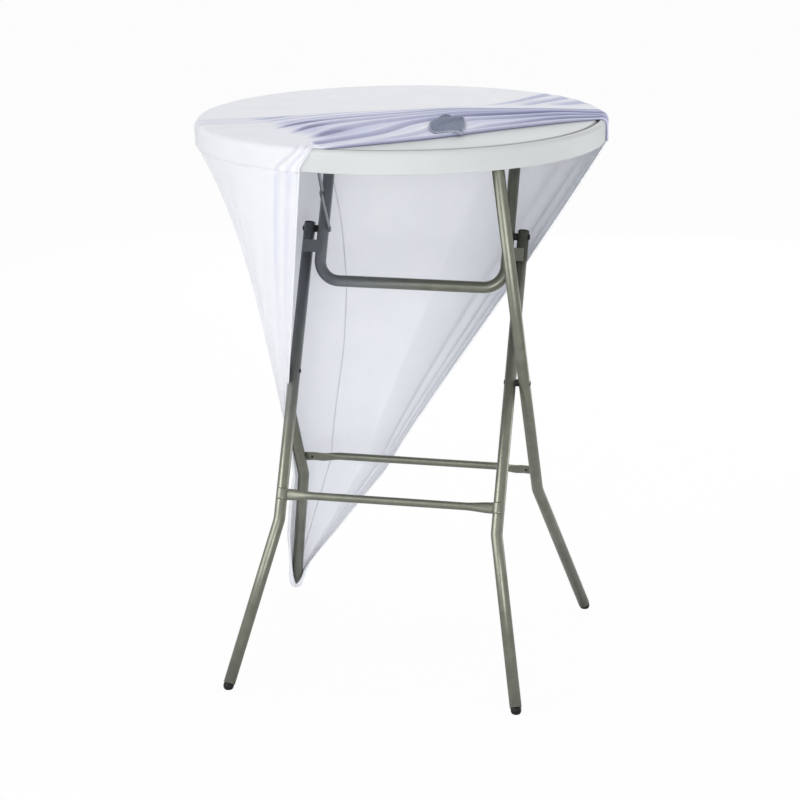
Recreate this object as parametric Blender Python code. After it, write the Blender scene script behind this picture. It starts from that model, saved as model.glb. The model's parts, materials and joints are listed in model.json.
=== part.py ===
"""Folding high table: a round moulded top on scissor legs of steel tube, with a stretch cover half on.

Metres, +Z up, the floor at Z = 0 under the centre of the top. +X runs along the crossbars and -Y is the
front. Left is -X. Every frame folds about an axis along X.
"""

import math

import bmesh
import bpy
import numpy as np
from mathutils import Matrix, Vector

# Tabletop
TOP_RADIUS = 0.400
TOP_HEIGHT = 1.106
TOP_EDGE_RADIUS = 0.009
RIM_DEPTH = 0.043
RIM_WALL = 0.005
PANEL_THICKNESS = 0.022
GROOVE_INSET = 0.0145
GROOVE_WIDTH = 0.0065
GROOVE_DEPTH = 0.0024

# Pivots in the side view, as shares of the top's radius in front of or behind its centre
HINGE_DROP = 0.036
REAR_HINGE_SHARE = 0.72
BRACE_HINGE_SHARE = 0.5285
REAR_FOOT_SHARE = 0.7625
FRONT_FOOT_SHARE = 0.75575
BRACE_LENGTH = 0.24067
KNEE_BEND_DEGREES = 0.86

# Tubes
TUBE_RADIUS = 0.0105
TUBE_WALL = 0.0012
BRACE_WIDTH_SHARE = 0.48125
KNEE_GAP = 0.0084
CROSSING_GAP = 0.0076
SPLAY_DEGREES = 11.5
KINK_BELOW_CROSSING = 0.304
KINK_RADIUS = 0.060
BRACE_BEND_RADIUS = 0.043
BRACE_BAR_BELOW_KNEE = 0.1065
REAR_LEG_ABOVE_HINGE = 0.006
BRACE_ABOVE_HINGE = 0.005
FRONT_LEG_ABOVE_KNEE = 0.0105

# Crossbars
BAR_RADIUS = 0.007
BAR_END_HALF_HEIGHT = 0.0098
REAR_BAR_STATION = 0.8175
REAR_BAR_END_THICKNESS = 0.0046
REAR_BAR_CLEARANCE = 0.001
REAR_BAR_TAPER = 0.030
REAR_BAR_RIVET_INSET = 0.0215
REAR_BAR_RIVET_DEPTH = 0.0040
FRONT_BAR_RADIUS = 0.0080
FRONT_BAR_BELOW_CROSSING = 0.2525
FRONT_BAR_TAPER = 0.045

# Feet and caps
FOOT_SOLE_DEPTH = 0.0035
FOOT_COLLAR = 0.005
PLUG_LENGTH = 0.022
LEG_CAP_OVERHANG = 0.0007
LEG_CAP_HEIGHT = 0.0028

# Fasteners
BOLT_RADIUS = 0.0034
BOLT_HEAD_RADIUS = 0.0060
BOLT_HEAD_HEIGHT = 0.0036
SPACER_RADIUS = 0.0072
SCREW_RADIUS = 0.0020
SCREW_HEAD_RADIUS = 0.0042
SCREW_HEAD_HEIGHT = 0.0022
SCREW_DEPTH = 0.010
RIVET_RADIUS = 0.0022
RIVET_HEAD_RADIUS = 0.0034
RIVET_HEAD_HEIGHT = 0.0012

# Hinge hardware
HINGE_TUBE_RADIUS = 0.0080
BRACE_ROD_RADIUS = 0.0050
BRACE_ROD_OVERHANG = 0.0035
ROD_CAP_RADIUS = 0.0072
ROD_CAP_THICKNESS = 0.0016
BRACKET_SHEET = 0.0020
BRACKET_WIDTH = 0.026
BRACKET_FLANGE = 0.015
BRACKET_INSET = 0.0425

# Stop clips on the brace
CLIP_BELOW_KNEE = 0.026
CLIP_LENGTH = 0.026
CLIP_SHEET = 0.0022
CLIP_REACH = 0.0062
CLIP_FRONT_GAP = 0.0014

# Lock stay
STAY_SHEET = 0.0030
STAY_HALF_WIDTH = 0.0060
STAY_HINGE_AHEAD = 0.2214
STAY_HINGE_DROP = 0.026
STAY_KNUCKLE_SHARE = 0.4357
STAY_KNUCKLE_BEND = 0.0069
STAY_EAR_FLANGE = 0.018

# Stretch cover
CLOTH = 0.0014
COVER_FRONT_DEGREES = 256.0
COVER_RIGHT_DEGREES = 6.0
BUNCH_SHARE = 0.46
BUNCH_FOLDS = 4
BUNCH_FOLD_HEIGHT = 0.010
BUNCH_EDGE_INSET = 0.030
SKIRT_FOLDS = 5
SKIRT_FOLD_DEPTH = 0.004
SKIRT_LEG_CLEARANCE = 0.0049
SKIRT_FOOT_HEIGHT = 0.040
SKIRT_FRONT_TOUCH = 0.40
SKIRT_FRONT_SHARE = 0.08
SKIRT_LEFT_PULL = 6.5
SKIRT_LEFT_PLACE = 0.18
SKIRT_LEFT_SPREAD = 0.15
POCKET_HEIGHT = 0.026

# Clearances
SEAT_GAP = 0.0003
PIVOT_GAP = 0.0003

SIDES = (("left", -1.0), ("right", 1.0))
TUBE_RESOLUTION = 6
TURN_STEPS = 12

# Values that follow from the dimensions above
UNDERSIDE = TOP_HEIGHT - PANEL_THICKNESS
RIM_BOTTOM = TOP_HEIGHT - RIM_DEPTH
HINGE_HEIGHT = TOP_HEIGHT - HINGE_DROP
GROOVE_RADIUS = TOP_RADIUS - GROOVE_INSET
BRACE_HALF_WIDTH = BRACE_WIDTH_SHARE * TOP_RADIUS
FRONT_HALF_WIDTH = BRACE_HALF_WIDTH + 2 * TUBE_RADIUS + KNEE_GAP
REAR_HALF_WIDTH = FRONT_HALF_WIDTH + 2 * TUBE_RADIUS + CROSSING_GAP
SPLAY = math.radians(SPLAY_DEGREES)

BRACKET_X = BRACE_HALF_WIDTH - BRACKET_INSET
COVER_TURN_DOWN = RIM_DEPTH - SEAT_GAP
SKIRT_NECK_RADIUS = TUBE_RADIUS + BOLT_HEAD_HEIGHT + SKIRT_LEG_CLEARANCE

X_AXIS = np.array([1.0, 0.0, 0.0])
Z_AXIS = np.array([0.0, 0.0, 1.0])
REAR_HINGE = np.array([0.0, -REAR_HINGE_SHARE * TOP_RADIUS, HINGE_HEIGHT])
BRACE_HINGE = np.array([0.0, BRACE_HINGE_SHARE * TOP_RADIUS, HINGE_HEIGHT])
REAR_FOOT = np.array([0.0, REAR_FOOT_SHARE * TOP_RADIUS, 0.0])
FRONT_FOOT = np.array([0.0, -FRONT_FOOT_SHARE * TOP_RADIUS, 0.0])
STAY_HINGE = np.array([0.0, BRACE_HINGE[1] - STAY_HINGE_AHEAD, UNDERSIDE - STAY_HINGE_DROP])


def unit(vector):
    """The vector at length one."""
    return np.asarray(vector, float) / np.linalg.norm(vector)


def turned_about_x(vector, degrees):
    """The vector turned about the X axis."""
    angle = math.radians(degrees)
    cosine, sine = math.cos(angle), math.sin(angle)
    _, y, z = vector
    return np.array([0.0, y * cosine - z * sine, y * sine + z * cosine])


BRACE_DOWN = turned_about_x(unit(FRONT_FOOT - BRACE_HINGE), KNEE_BEND_DEGREES)
KNEE = BRACE_HINGE + BRACE_LENGTH * BRACE_DOWN
REAR_DOWN = unit(REAR_FOOT - REAR_HINGE)
FRONT_DOWN = unit(FRONT_FOOT - KNEE)
STAY_LINE = STAY_HINGE - KNEE
STAY_KNUCKLE = KNEE + STAY_KNUCKLE_SHARE * STAY_LINE + STAY_KNUCKLE_BEND * np.cross(X_AXIS, unit(STAY_LINE))
REAR_BACK = np.cross(X_AXIS, REAR_DOWN)
BRACE_FRONT = np.cross(BRACE_DOWN, X_AXIS)


def crossing_stations():
    """How far the scissor pivot lies along the rear legs from their hinge, and along the front legs
    from the knee: the two lines of the side view meet there."""
    lines = np.array([[REAR_DOWN[1], -FRONT_DOWN[1]], [REAR_DOWN[2], -FRONT_DOWN[2]]])
    apart = KNEE - REAR_HINGE
    return np.linalg.solve(lines, apart[1:])


REAR_CROSSING, FRONT_CROSSING = crossing_stations()
CROSSING = REAR_HINGE + REAR_CROSSING * REAR_DOWN


def material(name, colour, roughness, metallic=0.0):
    """A plain Principled material."""
    made = bpy.data.materials.new(name)
    made.use_nodes = True
    shader = made.node_tree.nodes["Principled BSDF"]
    shader.inputs["Base Color"].default_value = (*colour, 1.0)
    shader.inputs["Roughness"].default_value = roughness
    shader.inputs["Metallic"].default_value = metallic
    made.diffuse_color = (*colour, 1.0)
    return made


def clear_scene():
    """Removes every object of the file that the script starts from."""
    for found in list(bpy.data.objects):
        bpy.data.objects.remove(found, do_unlink=True)


class Body:
    """A rigid group of pieces: an empty on its joint's axis, with the pieces parented to it."""

    def __init__(self, name, origin=(0.0, 0.0, 0.0), parent=None):
        self.origin = np.array(origin, float)
        self.empty = bpy.data.objects.new(name, None)
        self.empty.empty_display_size = 0.05
        bpy.context.scene.collection.objects.link(self.empty)
        shift = self.origin
        if parent is not None:
            self.empty.parent = parent.empty
            shift = self.origin - parent.origin
        self.empty.location = Vector(shift)

    def add(self, name, mesh, look, smooth_degrees=35.0):
        """Makes an object of a mesh that is drawn in world places, and hangs it on the empty."""
        mesh.name = name
        mesh.transform(Matrix.Translation(Vector(-self.origin)))
        mesh.materials.clear()
        mesh.materials.append(look)
        mesh.shade_smooth()
        mesh.set_sharp_from_angle(angle=math.radians(smooth_degrees))
        made = bpy.data.objects.new(name, mesh)
        made.parent = self.empty
        bpy.context.scene.collection.objects.link(made)
        return made


def finished(bm):
    """A mesh of the bmesh, with its faces pointing out."""
    bmesh.ops.remove_doubles(bm, verts=bm.verts, dist=1e-6)
    bmesh.ops.recalc_face_normals(bm, faces=bm.faces)
    mesh = bpy.data.meshes.new("piece")
    bm.to_mesh(mesh)
    bm.free()
    return mesh


def turned(profile, centre, axis, steps=TURN_STEPS, closed=False):
    """A turned piece: (radius, place along the axis) points, spun about the axis through the centre."""
    bm = bmesh.new()
    points = [bm.verts.new((radius, 0.0, along)) for radius, along in profile]
    pairs = list(zip(points, points[1:]))
    if closed:
        pairs.append((points[-1], points[0]))
    edges = [bm.edges.new(pair) for pair in pairs]
    bmesh.ops.spin(
        bm,
        geom=points + edges,
        cent=(0.0, 0.0, 0.0),
        axis=(0.0, 0.0, 1.0),
        angle=2 * math.pi,
        steps=steps,
        use_merge=True,
    )
    turn = Vector(Z_AXIS).rotation_difference(Vector(axis)).to_matrix().to_4x4()
    bm.transform(Matrix.Translation(Vector(centre)) @ turn)
    return finished(bm)


def plate(outline, x_from, x_to):
    """A flat plate: an outline of (Y, Z) points, extruded along X."""
    bm = bmesh.new()
    face = bm.faces.new([bm.verts.new((x_from, y, z)) for y, z in outline])
    raised = bmesh.ops.extrude_face_region(bm, geom=[face])["geom"]
    moved = [item for item in raised if isinstance(item, bmesh.types.BMVert)]
    bmesh.ops.translate(bm, verts=moved, vec=(x_to - x_from, 0.0, 0.0))
    return finished(bm)


def prism(outline, start, along, across, up):
    """A straight prism: an outline of (across, up) points at the start, extruded by the vector along."""
    bm = bmesh.new()
    corners = [Vector(start + a * across + b * up) for a, b in outline]
    face = bm.faces.new([bm.verts.new(corner) for corner in corners])
    raised = bmesh.ops.extrude_face_region(bm, geom=[face])["geom"]
    moved = [item for item in raised if isinstance(item, bmesh.types.BMVert)]
    bmesh.ops.translate(bm, verts=moved, vec=Vector(along))
    return finished(bm)


def rounded_path(corners, radius, steps=4):
    """A run of points through the corners, with each inner corner replaced by an arc."""
    corners = [np.asarray(corner, float) for corner in corners]
    path = [corners[0]]
    for before, corner, after in zip(corners, corners[1:], corners[2:]):
        into = unit(corner - before)
        out = unit(after - corner)
        turn = math.acos(float(np.clip(into @ out, -1.0, 1.0)))
        centre = corner + unit(out - into) * radius / math.cos(turn / 2)
        first = corner - into * radius * math.tan(turn / 2)
        arm = first - centre
        for angle in np.linspace(0.0, turn, steps + 1):
            path.append(centre + arm * math.cos(angle) + into * radius * math.sin(angle))
    path.append(corners[-1])
    return path


def sleeve(path, radius):
    """The outer skin of a bent tube: a curve with a round bevel, open at both ends."""
    curve = bpy.data.curves.new("tube", "CURVE")
    curve.dimensions = "3D"
    curve.bevel_depth = radius
    curve.bevel_resolution = TUBE_RESOLUTION
    spline = curve.splines.new("POLY")
    spline.points.add(len(path) - 1)
    for point, place in zip(spline.points, path):
        point.co = (*place, 1.0)
    guide = bpy.data.objects.new("tube", curve)
    bpy.context.scene.collection.objects.link(guide)
    graph = bpy.context.evaluated_depsgraph_get()
    mesh = bpy.data.meshes.new_from_object(guide.evaluated_get(graph))
    bpy.data.objects.remove(guide, do_unlink=True)
    bpy.data.curves.remove(curve)
    return mesh


def tube(body, name, path, look):
    """A bent steel tube with its wall."""
    made = body.add(name, sleeve(path, TUBE_RADIUS), look)
    wall = made.modifiers.new("wall", "SOLIDIFY")
    wall.thickness = TUBE_WALL
    wall.offset = -1.0
    wall.use_even_offset = True
    return made


def loft(rings):
    """A solid through rings of points, closed at both ends."""
    bm = bmesh.new()
    loops = []
    for ring in rings:
        points = [bm.verts.new(Vector(place)) for place in ring]
        loops.append([bm.edges.new(pair) for pair in zip(points, points[1:] + points[:1])])
    for one, other in zip(loops, loops[1:]):
        bmesh.ops.bridge_loops(bm, edges=one + other)
    for end in (loops[0], loops[-1]):
        bmesh.ops.contextual_create(bm, geom=end)
    return finished(bm)


def ellipse(centre, one, other, count=14):
    """A ring of points round an ellipse with the two given half axes."""
    angles = np.arange(count) * 2 * math.pi / count
    return [centre + one * math.cos(angle) + other * math.sin(angle) for angle in angles]


def cut(target, mesh, name):
    """Cuts the mesh out of the target with a Boolean."""
    cutter = bpy.data.objects.new(name, mesh)
    cutter.hide_render = True
    cutter.display_type = "WIRE"
    bpy.context.scene.collection.objects.link(cutter)
    taken = target.modifiers.new(name, "BOOLEAN")
    taken.operation = "DIFFERENCE"
    taken.object = cutter
    taken.solver = "EXACT"


def drill(target, centre, axis, radius, reach, name):
    """Drills a round hole through the target, reach long each way from the centre."""
    profile = [(0.0, reach), (radius, reach), (radius, -reach), (0.0, -reach)]
    cut(target, turned(profile, centre, axis), name)


def headed_pin(shank_radius, head_radius, head, length, far_head=0.0):
    """Profile of a pin with a domed head from 0 outwards and a shank from 0 to -length, where a second
    head follows if it has a height."""
    profile = [(0.0, head), (head_radius * 0.62, head * 0.93), (head_radius, head * 0.45), (head_radius, 0.0)]
    profile.append((shank_radius, 0.0))
    profile.append((shank_radius, -length))
    if far_head:
        profile += [(head_radius * 0.9, -length), (head_radius * 0.9, -length - far_head * 0.6)]
        profile.append((head_radius * 0.6, -length - far_head))
        profile.append((0.0, -length - far_head))
    else:
        profile.append((0.0, -length))
    return profile


def leg_foot(hinge, down, crossing, half_width, sign, sole):
    """The splayed lower run of a leg: its kink, its tube end and its direction. The tube ends where the
    centre of the foot's dome stands its sole depth above the sole."""
    kink = hinge + down * (crossing + KINK_BELOW_CROSSING) + X_AXIS * sign * half_width
    splayed = down * math.cos(SPLAY) + X_AXIS * sign * math.sin(SPLAY)
    dome_height = sole + TUBE_RADIUS - FOOT_SOLE_DEPTH
    end_height = dome_height - FOOT_COLLAR * splayed[2]
    end = kink + splayed * (end_height - kink[2]) / splayed[2]
    return kink, end, splayed


def foot_profile(radius, reach_up):
    """A plug with a round dome below: the collar starts at 0 and the dome closes on the axis."""
    angles = np.linspace(0.0, math.pi / 2, 6)
    profile = [(0.0, -reach_up), (radius - TUBE_WALL - SEAT_GAP, -reach_up)]
    profile += [(radius - TUBE_WALL - SEAT_GAP, SEAT_GAP), (radius, SEAT_GAP)]
    profile += [(radius * math.cos(a), FOOT_COLLAR + radius * math.sin(a)) for a in angles]
    return profile


def floor_cutter(centre, level):
    """A block under the given level, to cut a sole flat."""
    size = 0.05
    outline = [(-size, 0.0), (size, 0.0), (size, -size), (-size, -size)]
    start = np.array([centre[0] - size, centre[1], level])
    return prism(outline, start, X_AXIS * 2 * size, np.array([0.0, 1.0, 0.0]), Z_AXIS)


# Tabletop and its hinge hardware


def table_top(body, look, pilot_places):
    """A turned disc: a flat top with a shallow groove, a round edge, a rim wall and a recessed underside."""
    edge = np.linspace(0.0, math.pi / 2, 5)
    corner = TOP_RADIUS - TOP_EDGE_RADIUS
    radius = TOP_EDGE_RADIUS
    outer = [(corner + radius * math.sin(a), TOP_HEIGHT - radius * (1 - math.cos(a))) for a in edge]
    inner = TOP_RADIUS - RIM_WALL
    profile = [(0.0, TOP_HEIGHT), (GROOVE_RADIUS - GROOVE_WIDTH / 2, TOP_HEIGHT)]
    profile.append((GROOVE_RADIUS, TOP_HEIGHT - GROOVE_DEPTH))
    profile.append((min(GROOVE_RADIUS + GROOVE_WIDTH / 2, corner - SEAT_GAP), TOP_HEIGHT))
    profile += outer
    profile += [(TOP_RADIUS, RIM_BOTTOM + RIM_WALL / 2), (TOP_RADIUS - RIM_WALL / 4, RIM_BOTTOM)]
    profile += [(inner, RIM_BOTTOM), (inner, UNDERSIDE), (0.0, UNDERSIDE)]
    made = body.add("table_top", turned(profile, (0.0, 0.0, 0.0), Z_AXIS, steps=80), look)
    for number, place in enumerate(pilot_places):
        drill(made, place, Z_AXIS, SCREW_RADIUS + PIVOT_GAP, SCREW_DEPTH + SEAT_GAP, f"pilot_hole_{number}")
    return made


def saddle_outline(centre, radius):
    """A strap bent round a tube, with a flange each side against the underside of the top."""
    inner = radius + PIVOT_GAP
    outer = inner + BRACKET_SHEET
    top = UNDERSIDE - SEAT_GAP
    low = top - BRACKET_SHEET
    y, z = centre[1], centre[2]
    end = outer + BRACKET_FLANGE
    arc = np.linspace(0.0, math.pi, 9)
    outline = [(y - end, top), (y - end, low), (y - outer, low)]
    outline += [(y - outer * math.cos(a), z - outer * math.sin(a)) for a in arc]
    outline += [(y + outer, low), (y + end, low), (y + end, top), (y + inner, top)]
    outline += [(y + inner * math.cos(a), z - inner * math.sin(a)) for a in arc]
    outline.append((y - inner, top))
    return outline


def bracket_screw_places(centre, radius, x):
    """The underside points over a saddle's two screws."""
    reach = radius + PIVOT_GAP + BRACKET_SHEET + BRACKET_FLANGE * 0.55
    return [np.array([x, centre[1] + way * reach, UNDERSIDE]) for way in (-1.0, 1.0)]


def flange_screw(body, name, place, look):
    """A pan-head screw whose head sits under a bracket's flange and whose shank is in the top."""
    seat = place - Z_AXIS * (SEAT_GAP + BRACKET_SHEET + SEAT_GAP)
    length = SCREW_DEPTH + SEAT_GAP + BRACKET_SHEET
    profile = headed_pin(SCREW_RADIUS, SCREW_HEAD_RADIUS, SCREW_HEAD_HEIGHT, length)
    return body.add(name, turned(profile, seat, -Z_AXIS, steps=8), look)


def hinge_brackets(body, row, centre, radius, x_place, steel, dark):
    """The pair of saddles of one hinge line, with their screws."""
    for side, sign in SIDES:
        x = sign * x_place
        outline = saddle_outline(centre, radius)
        mesh = plate(outline, x - BRACKET_WIDTH / 2, x + BRACKET_WIDTH / 2)
        made = body.add(f"{row}_hinge_bracket_{side}", mesh, steel)
        for way, place in zip(("front", "back"), bracket_screw_places(centre, radius, x)):
            reach = 2 * BRACKET_SHEET
            drill(made, place, Z_AXIS, SCREW_RADIUS + PIVOT_GAP, reach, f"{row}_{side}_{way}_screw_hole")
            flange_screw(body, f"{row}_bracket_screw_{side}_{way}", place, dark)


def brace_rod(body, steel, dark):
    """The rod that the brace swings on, with a push cap over each end."""
    end = BRACE_HALF_WIDTH + TUBE_RADIUS + BRACE_ROD_OVERHANG
    profile = [(0.0, end), (BRACE_ROD_RADIUS, end), (BRACE_ROD_RADIUS, -end), (0.0, -end)]
    body.add("brace_pivot_rod", turned(profile, BRACE_HINGE, X_AXIS), steel)
    bore = BRACE_ROD_RADIUS + SEAT_GAP
    start = BRACE_HALF_WIDTH + TUBE_RADIUS + SEAT_GAP
    face = end + SEAT_GAP + ROD_CAP_THICKNESS
    cap = [(0.0, face), (ROD_CAP_RADIUS * 0.8, face), (ROD_CAP_RADIUS, face - ROD_CAP_THICKNESS * 0.6)]
    cap += [(ROD_CAP_RADIUS, start), (bore, start), (bore, end + SEAT_GAP), (0.0, end + SEAT_GAP)]
    for side, sign in SIDES:
        body.add(f"brace_rod_cap_{side}", turned(cap, BRACE_HINGE, sign * X_AXIS), dark)


# Rear leg frame


def rear_frame(body, steel, dark):
    """Two legs, the tube that they hang on, a crossbar behind them, the feet and the scissor bolts."""
    for side, sign in SIDES:
        sole = CLOTH + SEAT_GAP if side == "left" else 0.0
        kink, end, splayed = leg_foot(REAR_HINGE, REAR_DOWN, REAR_CROSSING, REAR_HALF_WIDTH, sign, sole)
        start = REAR_HINGE + X_AXIS * sign * REAR_HALF_WIDTH - REAR_DOWN * REAR_LEG_ABOVE_HINGE
        leg = tube(body, f"rear_leg_{side}", rounded_path([start, kink, end], KINK_RADIUS), steel)
        bolt_at = CROSSING + X_AXIS * sign * REAR_HALF_WIDTH
        drill(leg, bolt_at, X_AXIS, BOLT_RADIUS + PIVOT_GAP, 2 * TUBE_RADIUS, f"rear_{side}_bolt_hole")
        foot_mesh = turned(foot_profile(TUBE_RADIUS, PLUG_LENGTH), end, splayed)
        foot = body.add(f"rear_foot_{side}", foot_mesh, dark)
        cut(foot, floor_cutter(end, sole), f"rear_{side}_floor")
        crossing_bolt(body, side, sign, dark)
    half = REAR_HALF_WIDTH - TUBE_RADIUS - SEAT_GAP
    profile = [(0.0, half), (HINGE_TUBE_RADIUS, half), (HINGE_TUBE_RADIUS, -half), (0.0, -half)]
    body.add("rear_frame_pivot_tube", turned(profile, REAR_HINGE, X_AXIS, steps=16), steel)
    rear_crossbar(body, steel, dark)


def crossing_bolt(body, side, sign, dark):
    """The scissor bolt: head on the rear leg's outer face, with the spacer between the legs on it."""
    face = CROSSING + X_AXIS * sign * (REAR_HALF_WIDTH + TUBE_RADIUS + SEAT_GAP)
    inner = FRONT_HALF_WIDTH + TUBE_RADIUS + SEAT_GAP
    length = REAR_HALF_WIDTH + TUBE_RADIUS + SEAT_GAP - inner
    profile = headed_pin(BOLT_RADIUS, BOLT_HEAD_RADIUS, BOLT_HEAD_HEIGHT, length)
    body.add(f"crossing_bolt_{side}", turned(profile, face, sign * X_AXIS), dark)
    outer = REAR_HALF_WIDTH - TUBE_RADIUS - SEAT_GAP
    spacer(body, f"crossing_spacer_{side}", CROSSING, sign, inner, outer, dark)


def spacer(body, name, centre, sign, x_from, x_to, look):
    """A plastic ring on a bolt, between two tubes."""
    bore = BOLT_RADIUS + SEAT_GAP
    ring = [(bore, x_from), (SPACER_RADIUS, x_from), (SPACER_RADIUS, x_to), (bore, x_to)]
    body.add(name, turned(ring, centre, sign * X_AXIS, closed=True), look)


def rear_crossbar(body, steel, dark):
    """A round bar whose flat ends lie on the backs of the legs, clear of the front legs when folded."""
    across = REAR_DOWN * BAR_END_HALF_HEIGHT
    flat = REAR_BAR_END_THICKNESS / 2
    end_depth = TUBE_RADIUS + SEAT_GAP + flat
    mid_depth = TUBE_RADIUS + REAR_BAR_CLEARANCE + BAR_RADIUS
    place = REAR_HINGE + REAR_DOWN * REAR_BAR_STATION
    x_end = REAR_HALF_WIDTH + TUBE_RADIUS * 0.6
    x_flat = REAR_HALF_WIDTH - TUBE_RADIUS * 0.9
    x_round = x_flat - REAR_BAR_TAPER
    stations = [(-x_end, 0.0), (-x_flat, 0.0), (-x_round, 1.0), (x_round, 1.0), (x_flat, 0.0), (x_end, 0.0)]
    rings = []
    for x, share in stations:
        centre = place + X_AXIS * x + REAR_BACK * (end_depth + share * (mid_depth - end_depth))
        tall = across + share * (REAR_DOWN * BAR_RADIUS - across)
        thick = REAR_BACK * (flat + share * (BAR_RADIUS - flat))
        rings.append(ellipse(centre, tall, thick))
    bar = body.add("rear_crossbar", loft(rings), steel)
    x = REAR_HALF_WIDTH - REAR_BAR_RIVET_INSET
    share = (x_flat - x) / REAR_BAR_TAPER
    face = end_depth - flat + share * (mid_depth - BAR_RADIUS - end_depth + flat)
    radius, length = RIVET_HEAD_RADIUS, REAR_BAR_RIVET_DEPTH
    profile = [(0.0, 0.0), (radius, 0.0), (radius, -length), (0.0, -length)]
    for side, sign in SIDES:
        front = place + X_AXIS * sign * x + REAR_BACK * (face + SEAT_GAP)
        drill(bar, front, REAR_BACK, radius + SEAT_GAP, length + SEAT_GAP, f"rear_bar_{side}_rivet_hole")
        body.add(f"rear_crossbar_rivet_{side}", turned(profile, front, -REAR_BACK, steps=8), dark)


# Brace and its knee


def brace(body, steel, dark):
    """The U tube, its stop clips, and the knee bolts that the front legs swing on."""
    arm_end = BRACE_HINGE - BRACE_DOWN * BRACE_ABOVE_HINGE
    bar = KNEE + BRACE_DOWN * BRACE_BAR_BELOW_KNEE
    half = X_AXIS * BRACE_HALF_WIDTH
    corners = [arm_end - half, bar - half, bar + half, arm_end + half]
    u_tube = tube(body, "brace_tube", rounded_path(corners, BRACE_BEND_RADIUS, steps=6), steel)
    reach = BRACE_HALF_WIDTH + 2 * TUBE_RADIUS
    drill(u_tube, BRACE_HINGE, X_AXIS, BRACE_ROD_RADIUS + PIVOT_GAP, reach, "brace_rod_hole")
    drill(u_tube, KNEE, X_AXIS, BOLT_RADIUS + PIVOT_GAP, reach, "brace_knee_hole")
    for side, sign in SIDES:
        stop_clip(body, side, sign, steel)
        knee_bolt(body, side, sign, dark)


def stop_clip(body, side, sign, look):
    """A plate welded on the brace's arm that reaches across the front of the front leg and stops it."""
    pad = TUBE_RADIUS + SEAT_GAP
    back = TUBE_RADIUS + CLIP_FRONT_GAP
    front = back + CLIP_SHEET
    reach = FRONT_HALF_WIDTH + CLIP_REACH
    pad_from = BRACE_HALF_WIDTH - TUBE_RADIUS * 0.5
    pad_to = BRACE_HALF_WIDTH + TUBE_RADIUS * 0.6
    outline = [(pad_from, pad), (pad_to, pad), (pad_to, back), (reach, back)]
    outline += [(reach, front - CLIP_SHEET / 2), (reach - CLIP_SHEET / 2, front), (pad_from, front)]
    start = KNEE + BRACE_DOWN * CLIP_BELOW_KNEE
    mesh = prism(outline, start, BRACE_DOWN * CLIP_LENGTH, X_AXIS * sign, BRACE_FRONT)
    body.add(f"stop_clip_{side}", mesh, look)


def knee_bolt(body, side, sign, dark):
    """The bolt through a front leg and the brace's arm; the left one carries the lower stay link too."""
    face = FRONT_HALF_WIDTH + TUBE_RADIUS + SEAT_GAP
    inner = BRACE_HALF_WIDTH - TUBE_RADIUS - SEAT_GAP
    if side == "left":
        inner -= STAY_SHEET + SEAT_GAP
    profile = headed_pin(BOLT_RADIUS, BOLT_HEAD_RADIUS, BOLT_HEAD_HEIGHT, face - inner, far_head=STAY_SHEET)
    body.add(f"knee_bolt_{side}", turned(profile, KNEE + X_AXIS * sign * face, sign * X_AXIS), dark)
    x_from = BRACE_HALF_WIDTH + TUBE_RADIUS + SEAT_GAP
    spacer(body, f"knee_spacer_{side}", KNEE, sign, x_from, FRONT_HALF_WIDTH - TUBE_RADIUS - SEAT_GAP, dark)


# Front leg frame


def front_frame(body, steel, dark):
    """Two legs that hang on the knee bolts, their caps, the crossbar, the feet and the scissor nuts."""
    for side, sign in SIDES:
        kink, end, splayed = leg_foot(KNEE, FRONT_DOWN, FRONT_CROSSING, FRONT_HALF_WIDTH, sign, 0.0)
        start = KNEE + X_AXIS * sign * FRONT_HALF_WIDTH - FRONT_DOWN * FRONT_LEG_ABOVE_KNEE
        leg = tube(body, f"front_leg_{side}", rounded_path([start, kink, end], KINK_RADIUS), steel)
        for place, what in ((KNEE, "knee"), (CROSSING, "crossing")):
            centre = place + X_AXIS * sign * FRONT_HALF_WIDTH
            drill(leg, centre, X_AXIS, BOLT_RADIUS + PIVOT_GAP, 2 * TUBE_RADIUS, f"front_{side}_{what}_hole")
        foot_mesh = turned(foot_profile(TUBE_RADIUS, PLUG_LENGTH), end, splayed)
        foot = body.add(f"front_foot_{side}", foot_mesh, dark)
        cut(foot, floor_cutter(end, 0.0), f"front_{side}_floor")
        leg_cap(body, side, start, dark)
        face = CROSSING + X_AXIS * sign * (FRONT_HALF_WIDTH - TUBE_RADIUS - SEAT_GAP)
        nut = headed_pin(BOLT_RADIUS, BOLT_HEAD_RADIUS, BOLT_HEAD_HEIGHT, 2 * TUBE_RADIUS + SEAT_GAP)
        body.add(f"crossing_nut_{side}", turned(nut, face, -sign * X_AXIS), dark)
    front_crossbar(body, steel)


def leg_cap(body, side, start, look):
    """A plastic cap on the upper end of a front leg, with a plug inside the tube."""
    plug = TUBE_RADIUS - TUBE_WALL - SEAT_GAP
    rim = TUBE_RADIUS + LEG_CAP_OVERHANG
    depth = FRONT_LEG_ABOVE_KNEE - BOLT_RADIUS - 2 * SEAT_GAP
    profile = [(0.0, LEG_CAP_HEIGHT), (rim * 0.75, LEG_CAP_HEIGHT), (rim, LEG_CAP_HEIGHT * 0.55)]
    profile += [(rim, SEAT_GAP), (plug, SEAT_GAP), (plug, -depth), (0.0, -depth)]
    body.add(f"front_leg_cap_{side}", turned(profile, start, -FRONT_DOWN, steps=16), look)


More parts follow.
